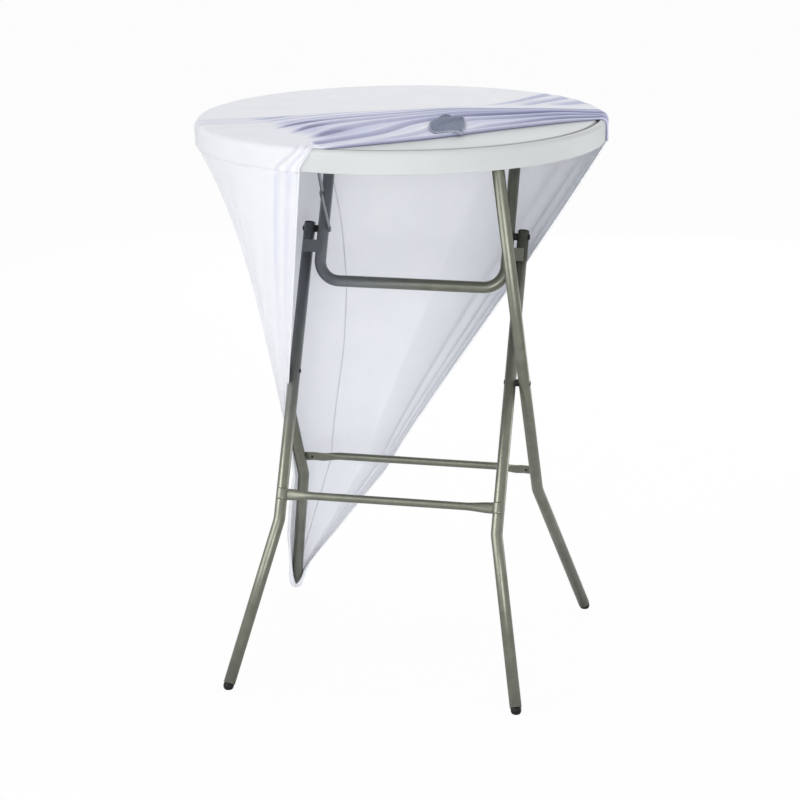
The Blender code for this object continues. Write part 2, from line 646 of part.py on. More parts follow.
def front_crossbar(body, look):
    """A round bar that flares towards its ends, each coped to sit round a leg."""
    place = KNEE + FRONT_DOWN * (FRONT_CROSSING + FRONT_BAR_BELOW_CROSSING)
    back = np.cross(X_AXIS, FRONT_DOWN)
    x_end = FRONT_HALF_WIDTH
    x_round = FRONT_HALF_WIDTH - FRONT_BAR_TAPER
    x_flare = FRONT_HALF_WIDTH - FRONT_BAR_TAPER * 0.4
    rings = []
    half_stations = [(x_round, 0.0), (x_flare, 0.85), (x_end, 1.0)]
    stations = [(-x, share) for x, share in reversed(half_stations)] + half_stations
    for x, share in stations:
        tall = FRONT_BAR_RADIUS + share * (BAR_END_HALF_HEIGHT - FRONT_BAR_RADIUS)
        thick = FRONT_BAR_RADIUS * (1.0 - 0.3 * share)
        rings.append(ellipse(place + X_AXIS * x, FRONT_DOWN * tall, back * thick))
    bar = body.add("front_crossbar", loft(rings), look)
    for side, sign in SIDES:
        cope = TUBE_RADIUS + SEAT_GAP
        reach = 4 * TUBE_RADIUS
        profile = [(0.0, reach), (cope, reach), (cope, -reach), (0.0, -reach)]
        centre = place + X_AXIS * sign * FRONT_HALF_WIDTH
        cut(bar, turned(profile, centre, FRONT_DOWN, steps=24), f"front_bar_{side}_cope")


# Lock stay


def link_outline(start, end):
    """A flat link with round ends, as (Y, Z) points."""
    along = unit(end - start)[1:]
    across = np.array([-along[1], along[0]])
    angles = np.linspace(-math.pi / 2, math.pi / 2, 7)
    outline = [end[1:] + STAY_HALF_WIDTH * (along * math.cos(a) + across * math.sin(a)) for a in angles]
    outline += [start[1:] - STAY_HALF_WIDTH * (along * math.cos(a) + across * math.sin(a)) for a in angles]
    return outline


def lock_stay(top, upper, lower, steel, dark):
    """Two flat links on the left: the lower swings on the knee bolt, the upper on an ear under the top."""
    x_lower = -(BRACE_HALF_WIDTH - TUBE_RADIUS - SEAT_GAP)
    x_upper = x_lower + STAY_SHEET + SEAT_GAP
    x_ear = x_upper + STAY_SHEET + SEAT_GAP
    mesh = plate(link_outline(KNEE, STAY_KNUCKLE), x_lower, x_lower + STAY_SHEET)
    low = lower.add("lock_stay_lower_link", mesh, steel)
    drill(low, KNEE + X_AXIS * x_lower, X_AXIS, BOLT_RADIUS + PIVOT_GAP, 2 * STAY_SHEET, "lower_link_hole")
    mesh = plate(link_outline(STAY_HINGE, STAY_KNUCKLE), x_upper, x_upper + STAY_SHEET)
    high = upper.add("lock_stay_upper_link", mesh, steel)
    for place, what in ((STAY_HINGE, "hinge"), (STAY_KNUCKLE, "knuckle")):
        centre = place + X_AXIS * x_upper
        drill(high, centre, X_AXIS, RIVET_RADIUS + PIVOT_GAP, 2 * STAY_SHEET, f"upper_link_{what}_hole")
    knuckle = headed_pin(RIVET_RADIUS, RIVET_HEAD_RADIUS, RIVET_HEAD_HEIGHT, STAY_SHEET + SEAT_GAP)
    face = STAY_KNUCKLE + X_AXIS * (x_upper + STAY_SHEET + SEAT_GAP)
    upper.add("lock_stay_knuckle_rivet", turned(knuckle, face, X_AXIS, steps=8), dark)
    ear = stay_ear(top, x_ear, steel)
    hole = STAY_HINGE + X_AXIS * x_ear
    drill(ear, hole, X_AXIS, RIVET_RADIUS + PIVOT_GAP, 2 * STAY_SHEET, "stay_ear_hole")
    length = 2 * STAY_SHEET + SEAT_GAP
    rivet = headed_pin(RIVET_RADIUS, RIVET_HEAD_RADIUS, RIVET_HEAD_HEIGHT, length)
    face = STAY_HINGE + X_AXIS * (x_ear + STAY_SHEET + SEAT_GAP)
    top.add("lock_stay_hinge_rivet", turned(rivet, face, X_AXIS, steps=8), dark)
    place = stay_screw_place(x_ear)
    drill(ear, place, Z_AXIS, SCREW_RADIUS + PIVOT_GAP, 2 * BRACKET_SHEET, "stay_ear_screw_hole")
    flange_screw(top, "lock_stay_ear_screw", place, dark)


def stay_ear_x():
    """Where the ear of the lock stay stands."""
    return -(BRACE_HALF_WIDTH - TUBE_RADIUS - SEAT_GAP) + 2 * (STAY_SHEET + SEAT_GAP)


def stay_screw_place(x_ear):
    """The underside point over the ear's screw."""
    return np.array([x_ear + STAY_SHEET + STAY_EAR_FLANGE * 0.6, STAY_HINGE[1], UNDERSIDE])


def stay_ear(body, x_ear, look):
    """An angle bracket: a flange under the top and an ear that carries the stay's rivet."""
    top = UNDERSIDE - SEAT_GAP
    bottom = STAY_HINGE[2] - STAY_HALF_WIDTH
    across = x_ear + STAY_SHEET
    outline = [(x_ear, bottom), (across, bottom), (across, top - BRACKET_SHEET)]
    flange_end = across + STAY_EAR_FLANGE
    outline += [(flange_end, top - BRACKET_SHEET), (flange_end, top), (x_ear, top)]
    start = np.array([0.0, STAY_HINGE[1] - STAY_HALF_WIDTH, 0.0])
    along = np.array([0.0, 2 * STAY_HALF_WIDTH, 0.0])
    return body.add("lock_stay_ear", prism(outline, start, along, X_AXIS, Z_AXIS), look)


# Stretch cover


def rim_angle(share):
    """The place round the rim, from the front left hem (0) over left and back to the right hem (1)."""
    return np.radians(COVER_FRONT_DEGREES + share * (COVER_RIGHT_DEGREES - COVER_FRONT_DEGREES))


def hem_ends():
    """The two ends of the cover's straight front hem on the tabletop."""
    reach = TOP_RADIUS - BUNCH_EDGE_INSET
    ends = rim_angle(np.array([0.0, 1.0]))
    return reach * np.stack([np.cos(ends), np.sin(ends)], axis=-1)


def on_top(around, share):
    """Places on the tabletop: straight lines from the front hem (0) to the edge of the top (1)."""
    first, last = hem_ends()
    hem = first + around[..., None] * (last - first)
    angle = rim_angle(around)
    edge = (TOP_RADIUS - TOP_EDGE_RADIUS) * np.stack([np.cos(angle), np.sin(angle)], axis=-1)
    return hem + share[..., None] * (edge - hem)


def cloth_level():
    """The height of the cloth's middle where it lies flat on the top."""
    return TOP_HEIGHT + SEAT_GAP + CLOTH / 2


def sheet(body, name, grid, look):
    """A cloth: a grid of places with the thickness of the fabric round it."""
    rows, columns, _ = grid.shape
    index = np.arange(rows * columns).reshape(rows, columns)
    quads = np.stack([index[:-1, :-1], index[:-1, 1:], index[1:, 1:], index[1:, :-1]], axis=-1)
    mesh = bpy.data.meshes.new(name)
    mesh.from_pydata(grid.reshape(-1, 3).tolist(), [], quads.reshape(-1, 4).tolist())
    made = body.add(name, mesh, look, smooth_degrees=60.0)
    wall = made.modifiers.new("fabric", "SOLIDIFY")
    wall.thickness = CLOTH
    wall.offset = 0.0
    return made


def cover_bunch(body, look):
    """The front of the cover, pushed back over the top in long folds that meet at both ends."""
    around, share = np.meshgrid(np.linspace(0.0, 1.0, 36), np.linspace(0.0, 1.0, 17), indexing="ij")
    place = on_top(around, share * BUNCH_SHARE)
    swell = np.sin(math.pi * np.clip(around * 0.9 + 0.08, 0.0, 1.0)) ** 0.5
    fold = 0.5 - 0.5 * np.cos(2 * math.pi * BUNCH_FOLDS * share)
    fade = (1.0 - 0.55 * share) * (1.0 - share ** 6)
    height = cloth_level() + BUNCH_FOLD_HEIGHT * swell * fold * fade
    return sheet(body, "cover_bunch", np.concatenate([place, height[..., None]], axis=-1), look)


def cover_top(body, look):
    """The cover's smooth top, drawn over the round edge and a little down the rim."""
    around = np.linspace(0.0, 1.0, 46)
    angle = rim_angle(around)
    level = np.full_like(around, cloth_level())
    reach = on_top(around, np.ones_like(around)) - on_top(around, np.zeros_like(around))
    gap = 2 * (SEAT_GAP + CLOTH) / np.linalg.norm(reach, axis=-1)
    rows = []
    for part in np.linspace(0.0, 1.0, 4):
        share = BUNCH_SHARE + gap + part * (1.0 - BUNCH_SHARE - gap)
        rows.append(np.column_stack([on_top(around, share), level]))
    facet = TOP_RADIUS * (1.0 - math.cos(float(abs(angle[1] - angle[0])) / 2))
    out = TOP_EDGE_RADIUS + SEAT_GAP + CLOTH / 2
    corner = TOP_RADIUS - TOP_EDGE_RADIUS + facet
    for turn in np.radians([22.5, 45.0, 67.5, 90.0]):
        reach = corner + out * math.sin(turn)
        height = TOP_HEIGHT - TOP_EDGE_RADIUS + out * math.cos(turn)
        level = np.full_like(angle, height)
        rows.append(np.column_stack([reach * np.cos(angle), reach * np.sin(angle), level]))
    hem = np.full_like(angle, TOP_HEIGHT - COVER_TURN_DOWN)
    rows.append(np.column_stack([(corner + out) * np.cos(angle), (corner + out) * np.sin(angle), hem]))
    return sheet(body, "cover_top", np.stack(rows, axis=1), look)


def leg_centre(height):
    """The rear left leg's centre line, as (X, Y) at each height."""
    kink = (REAR_HINGE + REAR_DOWN * (REAR_CROSSING + KINK_BELOW_CROSSING))[2]
    below = np.clip(kink - height, 0.0, None) / -REAR_DOWN[2]
    along = (height - HINGE_HEIGHT) / REAR_DOWN[2]
    x = -REAR_HALF_WIDTH - below * math.tan(SPLAY)
    y = REAR_HINGE[1] + along * REAR_DOWN[1]
    return np.stack([x, y], axis=-1)


def skirt_grid(around, drop):
    """The cone of cloth: each line round the rim runs down to a ring about the rear left leg.

    A line starts at the rim and closes on the leg as its height falls. The left ones close soonest, because
    the cloth is drawn tight there, and the front hem meets the leg part of the way down."""
    high = TOP_HEIGHT - COVER_TURN_DOWN - SEAT_GAP - CLOTH / 2
    low = SKIRT_FOOT_HEIGHT
    height = high + drop * (low - high)
    fall = (height - low) / (high - low)
    angle = rim_angle(around)
    facet = TOP_RADIUS * (1.0 - math.cos(math.radians(COVER_FRONT_DEGREES - COVER_RIGHT_DEGREES) / 78))
    rim = (TOP_RADIUS + SEAT_GAP + CLOTH / 2 + facet) * np.stack([np.cos(angle), np.sin(angle)], axis=-1)
    start = rim - leg_centre(np.full_like(around, high))
    closing = 2.0 - 0.85 * np.clip((around - 0.15) / 0.6, 0.0, 1.0)
    closing += SKIRT_LEFT_PULL * np.exp(-(((around - SKIRT_LEFT_PLACE) / SKIRT_LEFT_SPREAD) ** 2))
    closing += np.clip((around - 0.7) / 0.3, 0.0, 1.0) * (0.07 - 0.225 * fall)
    plain = fall ** closing
    touch = 0.03 * np.log1p(np.exp((fall - SKIRT_FRONT_TOUCH) / 0.03))
    front = touch / (1.0 - SKIRT_FRONT_TOUCH)
    blend = np.clip(1.0 - around / SKIRT_FRONT_SHARE, 0.0, 1.0)
    open_share = blend * front + (1.0 - blend) * plain
    ring = np.radians(205.0 - 205.0 * np.clip(around, 0.0, 1.0))
    folds = np.sin(2 * math.pi * SKIRT_FOLDS * around) * SKIRT_FOLD_DEPTH * np.sin(math.pi * fall) ** 2
    neck = SKIRT_NECK_RADIUS * (1.0 - open_share) + folds
    ring_place = neck[..., None] * np.stack([np.cos(ring), np.sin(ring)], axis=-1)
    apart = open_share[..., None] * start + ring_place
    reach = np.linalg.norm(apart, axis=-1, keepdims=True)
    place = leg_centre(height) + apart * np.maximum(1.0, SKIRT_NECK_RADIUS / reach)
    return np.concatenate([place, height[..., None]], axis=-1)


def cover_skirt(body, look):
    """The part of the cover that hangs from the rim to the rear left foot."""
    around, drop = np.meshgrid(np.linspace(0.0, 1.0, 40), np.linspace(0.0, 1.0, 14), indexing="ij")
    return sheet(body, "cover_skirt", skirt_grid(around, drop ** 0.9), look)


def cover_pocket(body, look):
    """The cup at the cover's corner that is hooked under the rear left foot."""
    sole = CLOTH + SEAT_GAP
    _, end, splayed = leg_foot(REAR_HINGE, REAR_DOWN, REAR_CROSSING, REAR_HALF_WIDTH, -1.0, sole)
    inner = TUBE_RADIUS + SEAT_GAP
    outer = inner + CLOTH
    angles = np.linspace(0.0, math.pi / 2, 6)
    shell = [(0.0, -POCKET_HEIGHT), (outer, -POCKET_HEIGHT)]
    shell += [(outer * math.cos(a), FOOT_COLLAR + outer * math.sin(a)) for a in angles]
    made = body.add("cover_foot_pocket", turned(shell, end, splayed, steps=16), look)
    cut(made, floor_cutter(end, 0.0), "pocket_floor")
    hollow = [(0.0, -2 * POCKET_HEIGHT), (inner, -2 * POCKET_HEIGHT)]
    hollow += [(inner * math.cos(a), FOOT_COLLAR + inner * math.sin(a)) for a in angles]
    room = bpy.data.objects.new("pocket_room", turned(hollow, end, splayed, steps=16))
    room.hide_render = True
    room.display_type = "WIRE"
    bpy.context.scene.collection.objects.link(room)
    cut(room, floor_cutter(end, CLOTH), "pocket_room_floor")
    taken = made.modifiers.new("pocket_room", "BOOLEAN")
    taken.operation = "DIFFERENCE"
    taken.object = room
    taken.solver = "EXACT"


def main():
    """Builds every body of the table."""
    clear_scene()
    plastic = material("white_plastic", (0.80, 0.82, 0.81), 0.45)
    steel = material("grey_green_steel", (0.165, 0.170, 0.135), 0.38, 0.55)
    dark = material("black_plastic", (0.012, 0.012, 0.013), 0.50)
    cloth = material("white_stretch_cloth", (0.84, 0.85, 0.90), 0.75)

    top = Body("top_body")
    rear = Body("rear_frame_axis", REAR_HINGE)
    arm = Body("brace_axis", BRACE_HINGE)
    front = Body("front_frame_axis", KNEE, arm)
    stay_upper = Body("stay_upper_axis", STAY_HINGE)
    stay_lower = Body("stay_lower_axis", KNEE, arm)

    pilots = [stay_screw_place(stay_ear_x())]
    for sign in (-1.0, 1.0):
        pilots += bracket_screw_places(REAR_HINGE, HINGE_TUBE_RADIUS, sign * BRACKET_X)
        pilots += bracket_screw_places(BRACE_HINGE, BRACE_ROD_RADIUS, sign * BRACKET_X)
    table_top(top, plastic, pilots)
    hinge_brackets(top, "front", REAR_HINGE, HINGE_TUBE_RADIUS, BRACKET_X, steel, dark)
    hinge_brackets(top, "rear", BRACE_HINGE, BRACE_ROD_RADIUS, BRACKET_X, steel, dark)
    brace_rod(top, steel, dark)
    rear_frame(rear, steel, dark)
    brace(arm, steel, dark)
    front_frame(front, steel, dark)
    lock_stay(top, stay_upper, stay_lower, steel, dark)
    cover_bunch(top, cloth)
    cover_top(top, cloth)
    cover_skirt(top, cloth)
    cover_pocket(rear, cloth)
    bpy.context.view_layer.update()


main()
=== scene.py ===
# %% [markdown]
# # A folding high table with its stretch cover half on
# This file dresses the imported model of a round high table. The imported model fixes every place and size;
# here each visible piece gets a finer surface and a finish of its own. New pieces are numpy surfaces: a
# function of two numbers worked out on a whole grid, or an outline carried along a path. So one named
# number changes a shape everywhere, and no vertex is placed by hand.

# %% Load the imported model
import json
import math

import bmesh
import bpy
import numpy as np
from mathutils import Matrix, Vector


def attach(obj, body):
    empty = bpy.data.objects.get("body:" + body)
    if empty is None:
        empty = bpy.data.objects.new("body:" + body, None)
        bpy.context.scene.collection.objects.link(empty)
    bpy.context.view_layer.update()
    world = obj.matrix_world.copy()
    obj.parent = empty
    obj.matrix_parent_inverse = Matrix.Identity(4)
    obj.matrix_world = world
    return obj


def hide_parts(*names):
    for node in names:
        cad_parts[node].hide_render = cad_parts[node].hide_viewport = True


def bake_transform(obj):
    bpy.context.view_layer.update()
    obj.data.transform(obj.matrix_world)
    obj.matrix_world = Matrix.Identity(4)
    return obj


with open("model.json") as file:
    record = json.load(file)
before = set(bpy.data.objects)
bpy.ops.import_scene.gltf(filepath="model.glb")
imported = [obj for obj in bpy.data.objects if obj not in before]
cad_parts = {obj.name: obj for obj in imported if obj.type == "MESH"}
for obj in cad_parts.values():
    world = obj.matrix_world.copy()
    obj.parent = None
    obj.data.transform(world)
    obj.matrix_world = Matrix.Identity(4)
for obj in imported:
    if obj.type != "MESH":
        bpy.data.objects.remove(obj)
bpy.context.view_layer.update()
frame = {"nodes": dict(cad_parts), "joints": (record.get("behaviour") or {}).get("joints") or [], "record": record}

# %% [markdown]
# ## The camera
# The camera was solved from the round top and the four feet, so it stands where the photographer stood:
# nearly five metres away and 0.8 m higher than the top. A long lens keeps the legs almost parallel. The
# three directions below are the camera's own axes, written as columns of its matrix.

# %% Camera
CAMERA_PLACE = (1.14298, -4.66059, 1.88298)
CAMERA_RIGHT = (0.97143, 0.23714, -0.00950)
CAMERA_UP = (-0.05546, 0.26573, 0.96245)
CAMERA_AHEAD = (-0.23076, 0.93442, -0.27129)
CAMERA_LENS = 111.35
CAMERA_SENSOR = 36.0
TABLE_MIDDLE = (0.0, 0.0, 0.55)

camera_data = bpy.data.cameras.new("camera")
camera_data.lens = CAMERA_LENS
camera_data.sensor_width = CAMERA_SENSOR
camera = bpy.data.objects.new("camera", camera_data)
bpy.context.scene.collection.objects.link(camera)
camera_axes = Matrix((CAMERA_RIGHT, CAMERA_UP, -Vector(CAMERA_AHEAD))).transposed().to_4x4()
camera.matrix_world = Matrix.Translation(CAMERA_PLACE) @ camera_axes
bpy.context.scene.camera = camera
print("camera", round((Vector(CAMERA_PLACE) - Vector(TABLE_MIDDLE)).length, 2), "m from the table")

# %% [markdown]
# ## From a grid of points to a piece
# Every surface below ends as an array of shape (rows, columns, 3). The first helpers are the few curves
# that the formulas share; the others turn a grid into a mesh, close its seam and its poles, and hand it to
# the body that it moves with. Keeping this in one place means that each piece's own function holds only its
# formula.

# %% Curve helpers
X_AXIS, Y_AXIS, Z_AXIS = np.eye(3)
SIDES = (("left", -1.0), ("right", 1.0))


def unit(vector):
    """A vector, or an array of vectors, divided by its length."""
    vector = np.asarray(vector, float)
    return vector / np.linalg.norm(vector, axis=-1, keepdims=True)


def smoothstep(low, high, value):
    """0 below low, 1 above high, and 3t*t - 2t*t*t in between."""
    t = np.clip((value - low) / (high - low), 0.0, 1.0)
    return t * t * (3.0 - 2.0 * t)


def fade(low, high, value):
    """The reverse of smoothstep: 1 below low and 0 above high."""
    return 1.0 - smoothstep(low, high, value)


def bell(value, middle, width):
    """A soft bump: exp(-t*t), where t is the distance from the middle in widths."""
    return np.exp(-(((value - middle) / width) ** 2))


def on_circle(angle):
    """The point of the unit circle at an angle: (cos a, sin a)."""
    return np.stack([np.cos(angle), np.sin(angle)], axis=-1)


def pairs(rows, columns):
    """Two grids that together hold every pair of a row value and a column value."""
    return np.meshgrid(rows, columns, indexing="ij")


def at_height(flat, height):
    """Places in the plane, each raised to a height."""
    height = np.broadcast_to(height, flat.shape[:-1])
    return np.concatenate([flat, height[..., None]], axis=-1)


def ellipses(centre, first, second, count):
    """Ellipses along a path: centre + first cos a + second sin a, with both half axes as vectors."""
    angle = (np.arange(count) * 2 * math.pi / count)[:, None]
    return centre[:, None, :] + first[:, None, :] * np.cos(angle) + second[:, None, :] * np.sin(angle)


print("curve helpers ready")

# %% Mesh helpers
MERGE_DISTANCE = 1e-6


def grid_quads(rows, columns, closed):
    """Four corner numbers for each cell of a grid; closed joins the last column to the first."""
    index = np.arange(rows * columns).reshape(rows, columns)
    if closed:
        index = np.concatenate([index, index[:, :1]], axis=1)
    corners = [index[:-1, :-1], index[:-1, 1:], index[1:, 1:], index[1:, :-1]]
    return np.stack(corners, axis=-1).reshape(-1, 4)


def grid_mesh(name, grid, closed=False, capped=False, solid=False):
    """A mesh of a grid. Capped closes the first and last row; solid merges poles and turns the faces out."""
    rows, columns, _ = grid.shape
    faces = grid_quads(rows, columns, closed).tolist()
    if capped:
        faces.append(list(range(columns)))
        faces.append(list(range((rows - 1) * columns, rows * columns)))
    mesh = bpy.data.meshes.new(name)
    mesh.from_pydata(grid.reshape(-1, 3).tolist(), [], faces)
    if solid:
        work = bmesh.new()
        work.from_mesh(mesh)
        bmesh.ops.remove_doubles(work, verts=work.verts, dist=MERGE_DISTANCE)
        bmesh.ops.recalc_face_normals(work, faces=work.faces)
        work.to_mesh(mesh)
        work.free()
    return mesh


def piece(name, mesh, look, sharp_degrees=40.0):
    """An object at the origin with one material and smooth shading up to a crease angle."""
    mesh.materials.append(look)
    mesh.shade_smooth()
    mesh.set_sharp_from_angle(angle=math.radians(sharp_degrees))
    made = bpy.data.objects.new(name, mesh)
    bpy.context.scene.collection.objects.link(made)
    return made


def solid_piece(name, grid, look, sharp_degrees, capped=False):
    """A closed piece of a grid whose columns run round."""
    return piece(name, grid_mesh(name, grid, closed=True, capped=capped, solid=True), look, sharp_degrees)


def settle(made, body, slot, *nodes):
    """Makes a piece ride on a body and stand for CAD nodes, whose imported solids it hides; the slot is not used.
    """
    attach(made, body)
    if nodes:
        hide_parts(*nodes)
    return made


def thicken(made, thickness, offset):
    """Gives an open surface a wall; offset -1 puts it on the inside, 0 on both sides."""
    wall = made.modifiers.new("wall", "SOLIDIFY")
    wall.thickness = thickness
    wall.offset = offset
    wall.use_even_offset = offset != 0.0
    return made


print("mesh helpers ready;", len(frame["nodes"]), "nodes in the frame")

# %% [markdown]
# ## Finishes
# Four finishes cover the table, and a fifth the loose foot pocket. Each is a shader whose colour, roughness
# and bump come from noise on the piece's own coordinates, because a real surface is never one even colour.
# The scale of each noise is the size of the real detail: about 2 mm for hammered paint, about 1 mm for
# moulded grain.

# %% Shader helpers
MIX_FIRST, MIX_SECOND, MIX_RESULT = 6, 7, 2


def add(tree, kind, values=None, **settings):
    """One shader node with its settings and the values of its inputs."""
    made = tree.nodes.new(kind)
    for key, value in settings.items():
        setattr(made, key, value)
    for key, value in (values or {}).items():
        made.inputs[key].default_value = value
    return made


def new_finish(name):
    """A node material, its tree, its main shader and the piece's own coordinates."""
    made = bpy.data.materials.new(name)
    made.use_nodes = True
    tree = made.node_tree
    return made, tree, tree.nodes["Principled BSDF"], add(tree, "ShaderNodeTexCoord").outputs["Object"]


def noise(tree, source, scale, detail=2.0):
    """A noise pattern on the given coordinates."""
    made = add(tree, "ShaderNodeTexNoise", {"Scale": scale, "Detail": detail, "Roughness": 0.55})
    tree.links.new(source, made.inputs["Vector"])
    return made.outputs["Fac"]


def ranged(tree, source, low, high, from_low=0.3, from_high=0.7):
    """A value stretched from one range to another, held at both ends."""
    limits = {"From Min": from_low, "From Max": from_high, "To Min": low, "To Max": high}
    made = add(tree, "ShaderNodeMapRange", limits)
    tree.links.new(source, made.inputs["Value"])
    return made.outputs["Result"]


def combined(tree, operation, first, second):
    """Two values joined by an operation such as MULTIPLY or MAXIMUM."""
    made = add(tree, "ShaderNodeMath", operation=operation)
    tree.links.new(first, made.inputs[0])
    tree.links.new(second, made.inputs[1])
    return made.outputs[0]


def mixed(tree, factor, first, second):
    """A colour between two; each is a plain colour or another node's output."""
    made = add(tree, "ShaderNodeMix", data_type="RGBA")
    tree.links.new(factor, made.inputs["Factor"])
    for number, colour in ((MIX_FIRST, first), (MIX_SECOND, second)):
        if isinstance(colour, tuple):
            made.inputs[number].default_value = (*colour, 1.0)
        else:
            tree.links.new(colour, made.inputs[number])
    return made.outputs[MIX_RESULT]


def drifting(tree, place, scale, tones):
    """A colour that drifts between two tones with noise."""
    return mixed(tree, ranged(tree, noise(tree, place, scale), 0.0, 1.0), *tones)


def axis_parts(tree, source):
    """The X, Y and Z of a vector."""
    made = add(tree, "ShaderNodeSeparateXYZ")
    tree.links.new(source, made.inputs[0])
    return made.outputs


def dress(tree, shader, colour, roughness, plain_values):
    """Links a shader's colour and roughness and sets its plain values."""
    tree.links.new(colour, shader.inputs["Base Color"])
    tree.links.new(roughness, shader.inputs["Roughness"])
    for key, value in plain_values.items():
        shader.inputs[key].default_value = value


def bumped(tree, shader, height, strength, distance):
    """Tilts the shader's normal by a height pattern."""
    made = add(tree, "ShaderNodeBump", {"Strength": strength, "Distance": distance})
    tree.links.new(height, made.inputs["Height"])
    tree.links.new(made.outputs["Normal"], shader.inputs["Normal"])


def shown(tree, factor, first, second, surface):
    """Shows the first shader where the factor is 0 and the second where it is 1."""
    choose = add(tree, "ShaderNodeMixShader")
    for number, source in enumerate((factor, first, second)):
        tree.links.new(source, choose.inputs[number])
    tree.links.new(choose.outputs["Shader"], surface)


print("shader helpers ready")

# %% [markdown]
# The tubes have a hammered powder coat: small dimples that catch the light, satin rather than glossy,
# grey with a touch of olive. Two noises are enough. A fine one makes the dimples and their roughness, and
# a broad one lets the tone drift along a tube. Up on the left, where the cover shades the tubes and only
# bluish light reaches them, a bluer, paler tone is painted in as painted shade.

# %% Hammered paint
PAINT_TONES = ((0.140, 0.146, 0.116), (0.178, 0.184, 0.147))
# Painted shade up left, under the cover: its bluish tone and where it fades in along x and z.
PAINT_SHADE_BLUE = (0.205, 0.220, 0.236)
PAINT_DRIFT, PAINT_DIMPLES = 34.0, 480.0
SHADE_FROM_X, SHADE_FROM_Z = (-0.17, 0.05), (0.45, 0.75)


def hammered_paint():
    """Grey-green paint: the tone drifts with broad noise and turns bluer up left as painted shade under the cover;
    2 mm noise makes dimples.
    """
    paint, tree, shader, place = new_finish("hammered_paint")
    dimples = noise(tree, place, PAINT_DIMPLES, 1.5)
    parts = axis_parts(tree, place)
    left = ranged(tree, parts["X"], 1.0, 0.0, *SHADE_FROM_X)
    high = ranged(tree, parts["Z"], 0.0, 1.0, *SHADE_FROM_Z)
    # Painted shade: a bluer, paler tone up left, where the cover shades the tubes.
    under_cover_shade = combined(tree, "MULTIPLY", left, high)
    tone = mixed(tree, under_cover_shade, drifting(tree, place, PAINT_DRIFT, PAINT_TONES), PAINT_SHADE_BLUE)
    dress(tree, shader, tone, ranged(tree, dimples, 0.285, 0.325), {"Metallic": 0.60})
    bumped(tree, shader, dimples, 0.06, 0.0006)
    return paint


PAINT = hammered_paint()
print("made", PAINT.name)

# %% [markdown]
# The top is blow-moulded plastic with a fine pebble grain that hides scratches. The grain is far smaller
# than a pixel from where the camera stands, but near by it breaks up the gloss, so it goes into bump and
# roughness. Small caps, feet and bolt heads are black plastic or blackened steel with a fine texture.

# %% Moulded plastics
PLASTIC_TONES = ((0.545, 0.568, 0.566), (0.568, 0.590, 0.586))
PLASTIC_DRIFT, PLASTIC_GRAIN = 7.0, 900.0
# Painted shade for the groove: its darker tone and the radii where it fades in and out.
GROOVE_SHADE_TONE = (0.250, 0.262, 0.262)
GROOVE_SHADE_INNER, GROOVE_SHADE_OUTER = (0.3792, 0.3825), (0.3875, 0.3908)
BLACK_TONES = ((0.006, 0.006, 0.007), (0.014, 0.014, 0.015))
BLACK_SPECKS, BLACK_GRAIN = 260.0, 1100.0


def moulded_plastic():
    """White plastic: pebble grain of about 1 mm, a faint broad change of tone, and painted shade that darkens the
    groove.
    """
    plastic, tree, shader, place = new_finish("moulded_plastic")
    grain = noise(tree, place, PLASTIC_GRAIN)
    flat = add(tree, "ShaderNodeVectorMath", {1: (1.0, 1.0, 0.0)}, operation="MULTIPLY")
    reach = add(tree, "ShaderNodeVectorMath", operation="LENGTH")
    tree.links.new(place, flat.inputs[0])
    tree.links.new(flat.outputs[0], reach.inputs[0])
    # Painted shade: a darker ring over the groove, where it falls in shade.
    inner = ranged(tree, reach.outputs["Value"], 0.0, 1.0, *GROOVE_SHADE_INNER)
    outer = ranged(tree, reach.outputs["Value"], 1.0, 0.0, *GROOVE_SHADE_OUTER)
    groove = combined(tree, "MULTIPLY", inner, outer)
    tone = mixed(tree, groove, drifting(tree, place, PLASTIC_DRIFT, PLASTIC_TONES), GROOVE_SHADE_TONE)
    dress(tree, shader, tone, ranged(tree, grain, 0.40, 0.56), {"Specular IOR Level": 0.22})
    bumped(tree, shader, grain, 0.16, 0.0003)
    return plastic


def black_plastic():
    """Black: a fine moulded texture with slightly greyer specks."""
    plastic, tree, shader, place = new_finish("black_fittings")
    grain = noise(tree, place, BLACK_GRAIN)
    tone = drifting(tree, place, BLACK_SPECKS, BLACK_TONES)
    dress(tree, shader, tone, ranged(tree, grain, 0.38, 0.58), {"Specular IOR Level": 0.16})
    bumped(tree, shader, grain, 0.2, 0.0003)
    return plastic


PLASTIC = moulded_plastic()
BLACK = black_plastic()
print("made", PLASTIC.name, "and", BLACK.name)

# %% [markdown]
# The cover is a white stretch knit with a soft sheen. The ribs of the knit follow the cloth, not the room,
# so the pattern reads an attribute named weave that each cloth carries: metres along and across its own
# threads. A second attribute, shade, says how deep a point lies in the folds, and there the colour turns
# lavender as painted shade: where several layers stack, only bluish light gets in. Light also passes
# through the thin sheet, so that its inside is nearly as bright as its outside. The loose foot pocket is a
# finer blue-grey weave, made by the same function; there the shade marks its paler edge.

# %% Stretch knit
WHITES = ((0.816, 0.832, 0.874), (0.843, 0.858, 0.892))
# Painted shade colours of the folds: lavender, then deeper lavender.
SHADE_LAVENDER, DEEP_SHADE_LAVENDER = (0.500, 0.515, 0.690), (0.165, 0.170, 0.290)
BLUE_GREYS = ((0.120, 0.145, 0.214), (0.143, 0.170, 0.240))
PALE_BLUE, PALER_BLUE = (0.270, 0.300, 0.380), (0.520, 0.550, 0.630)
KNIT_RIBS, WOVEN_RIBS = 196.0, 400.0
CLOTH_DRIFT = 16.0


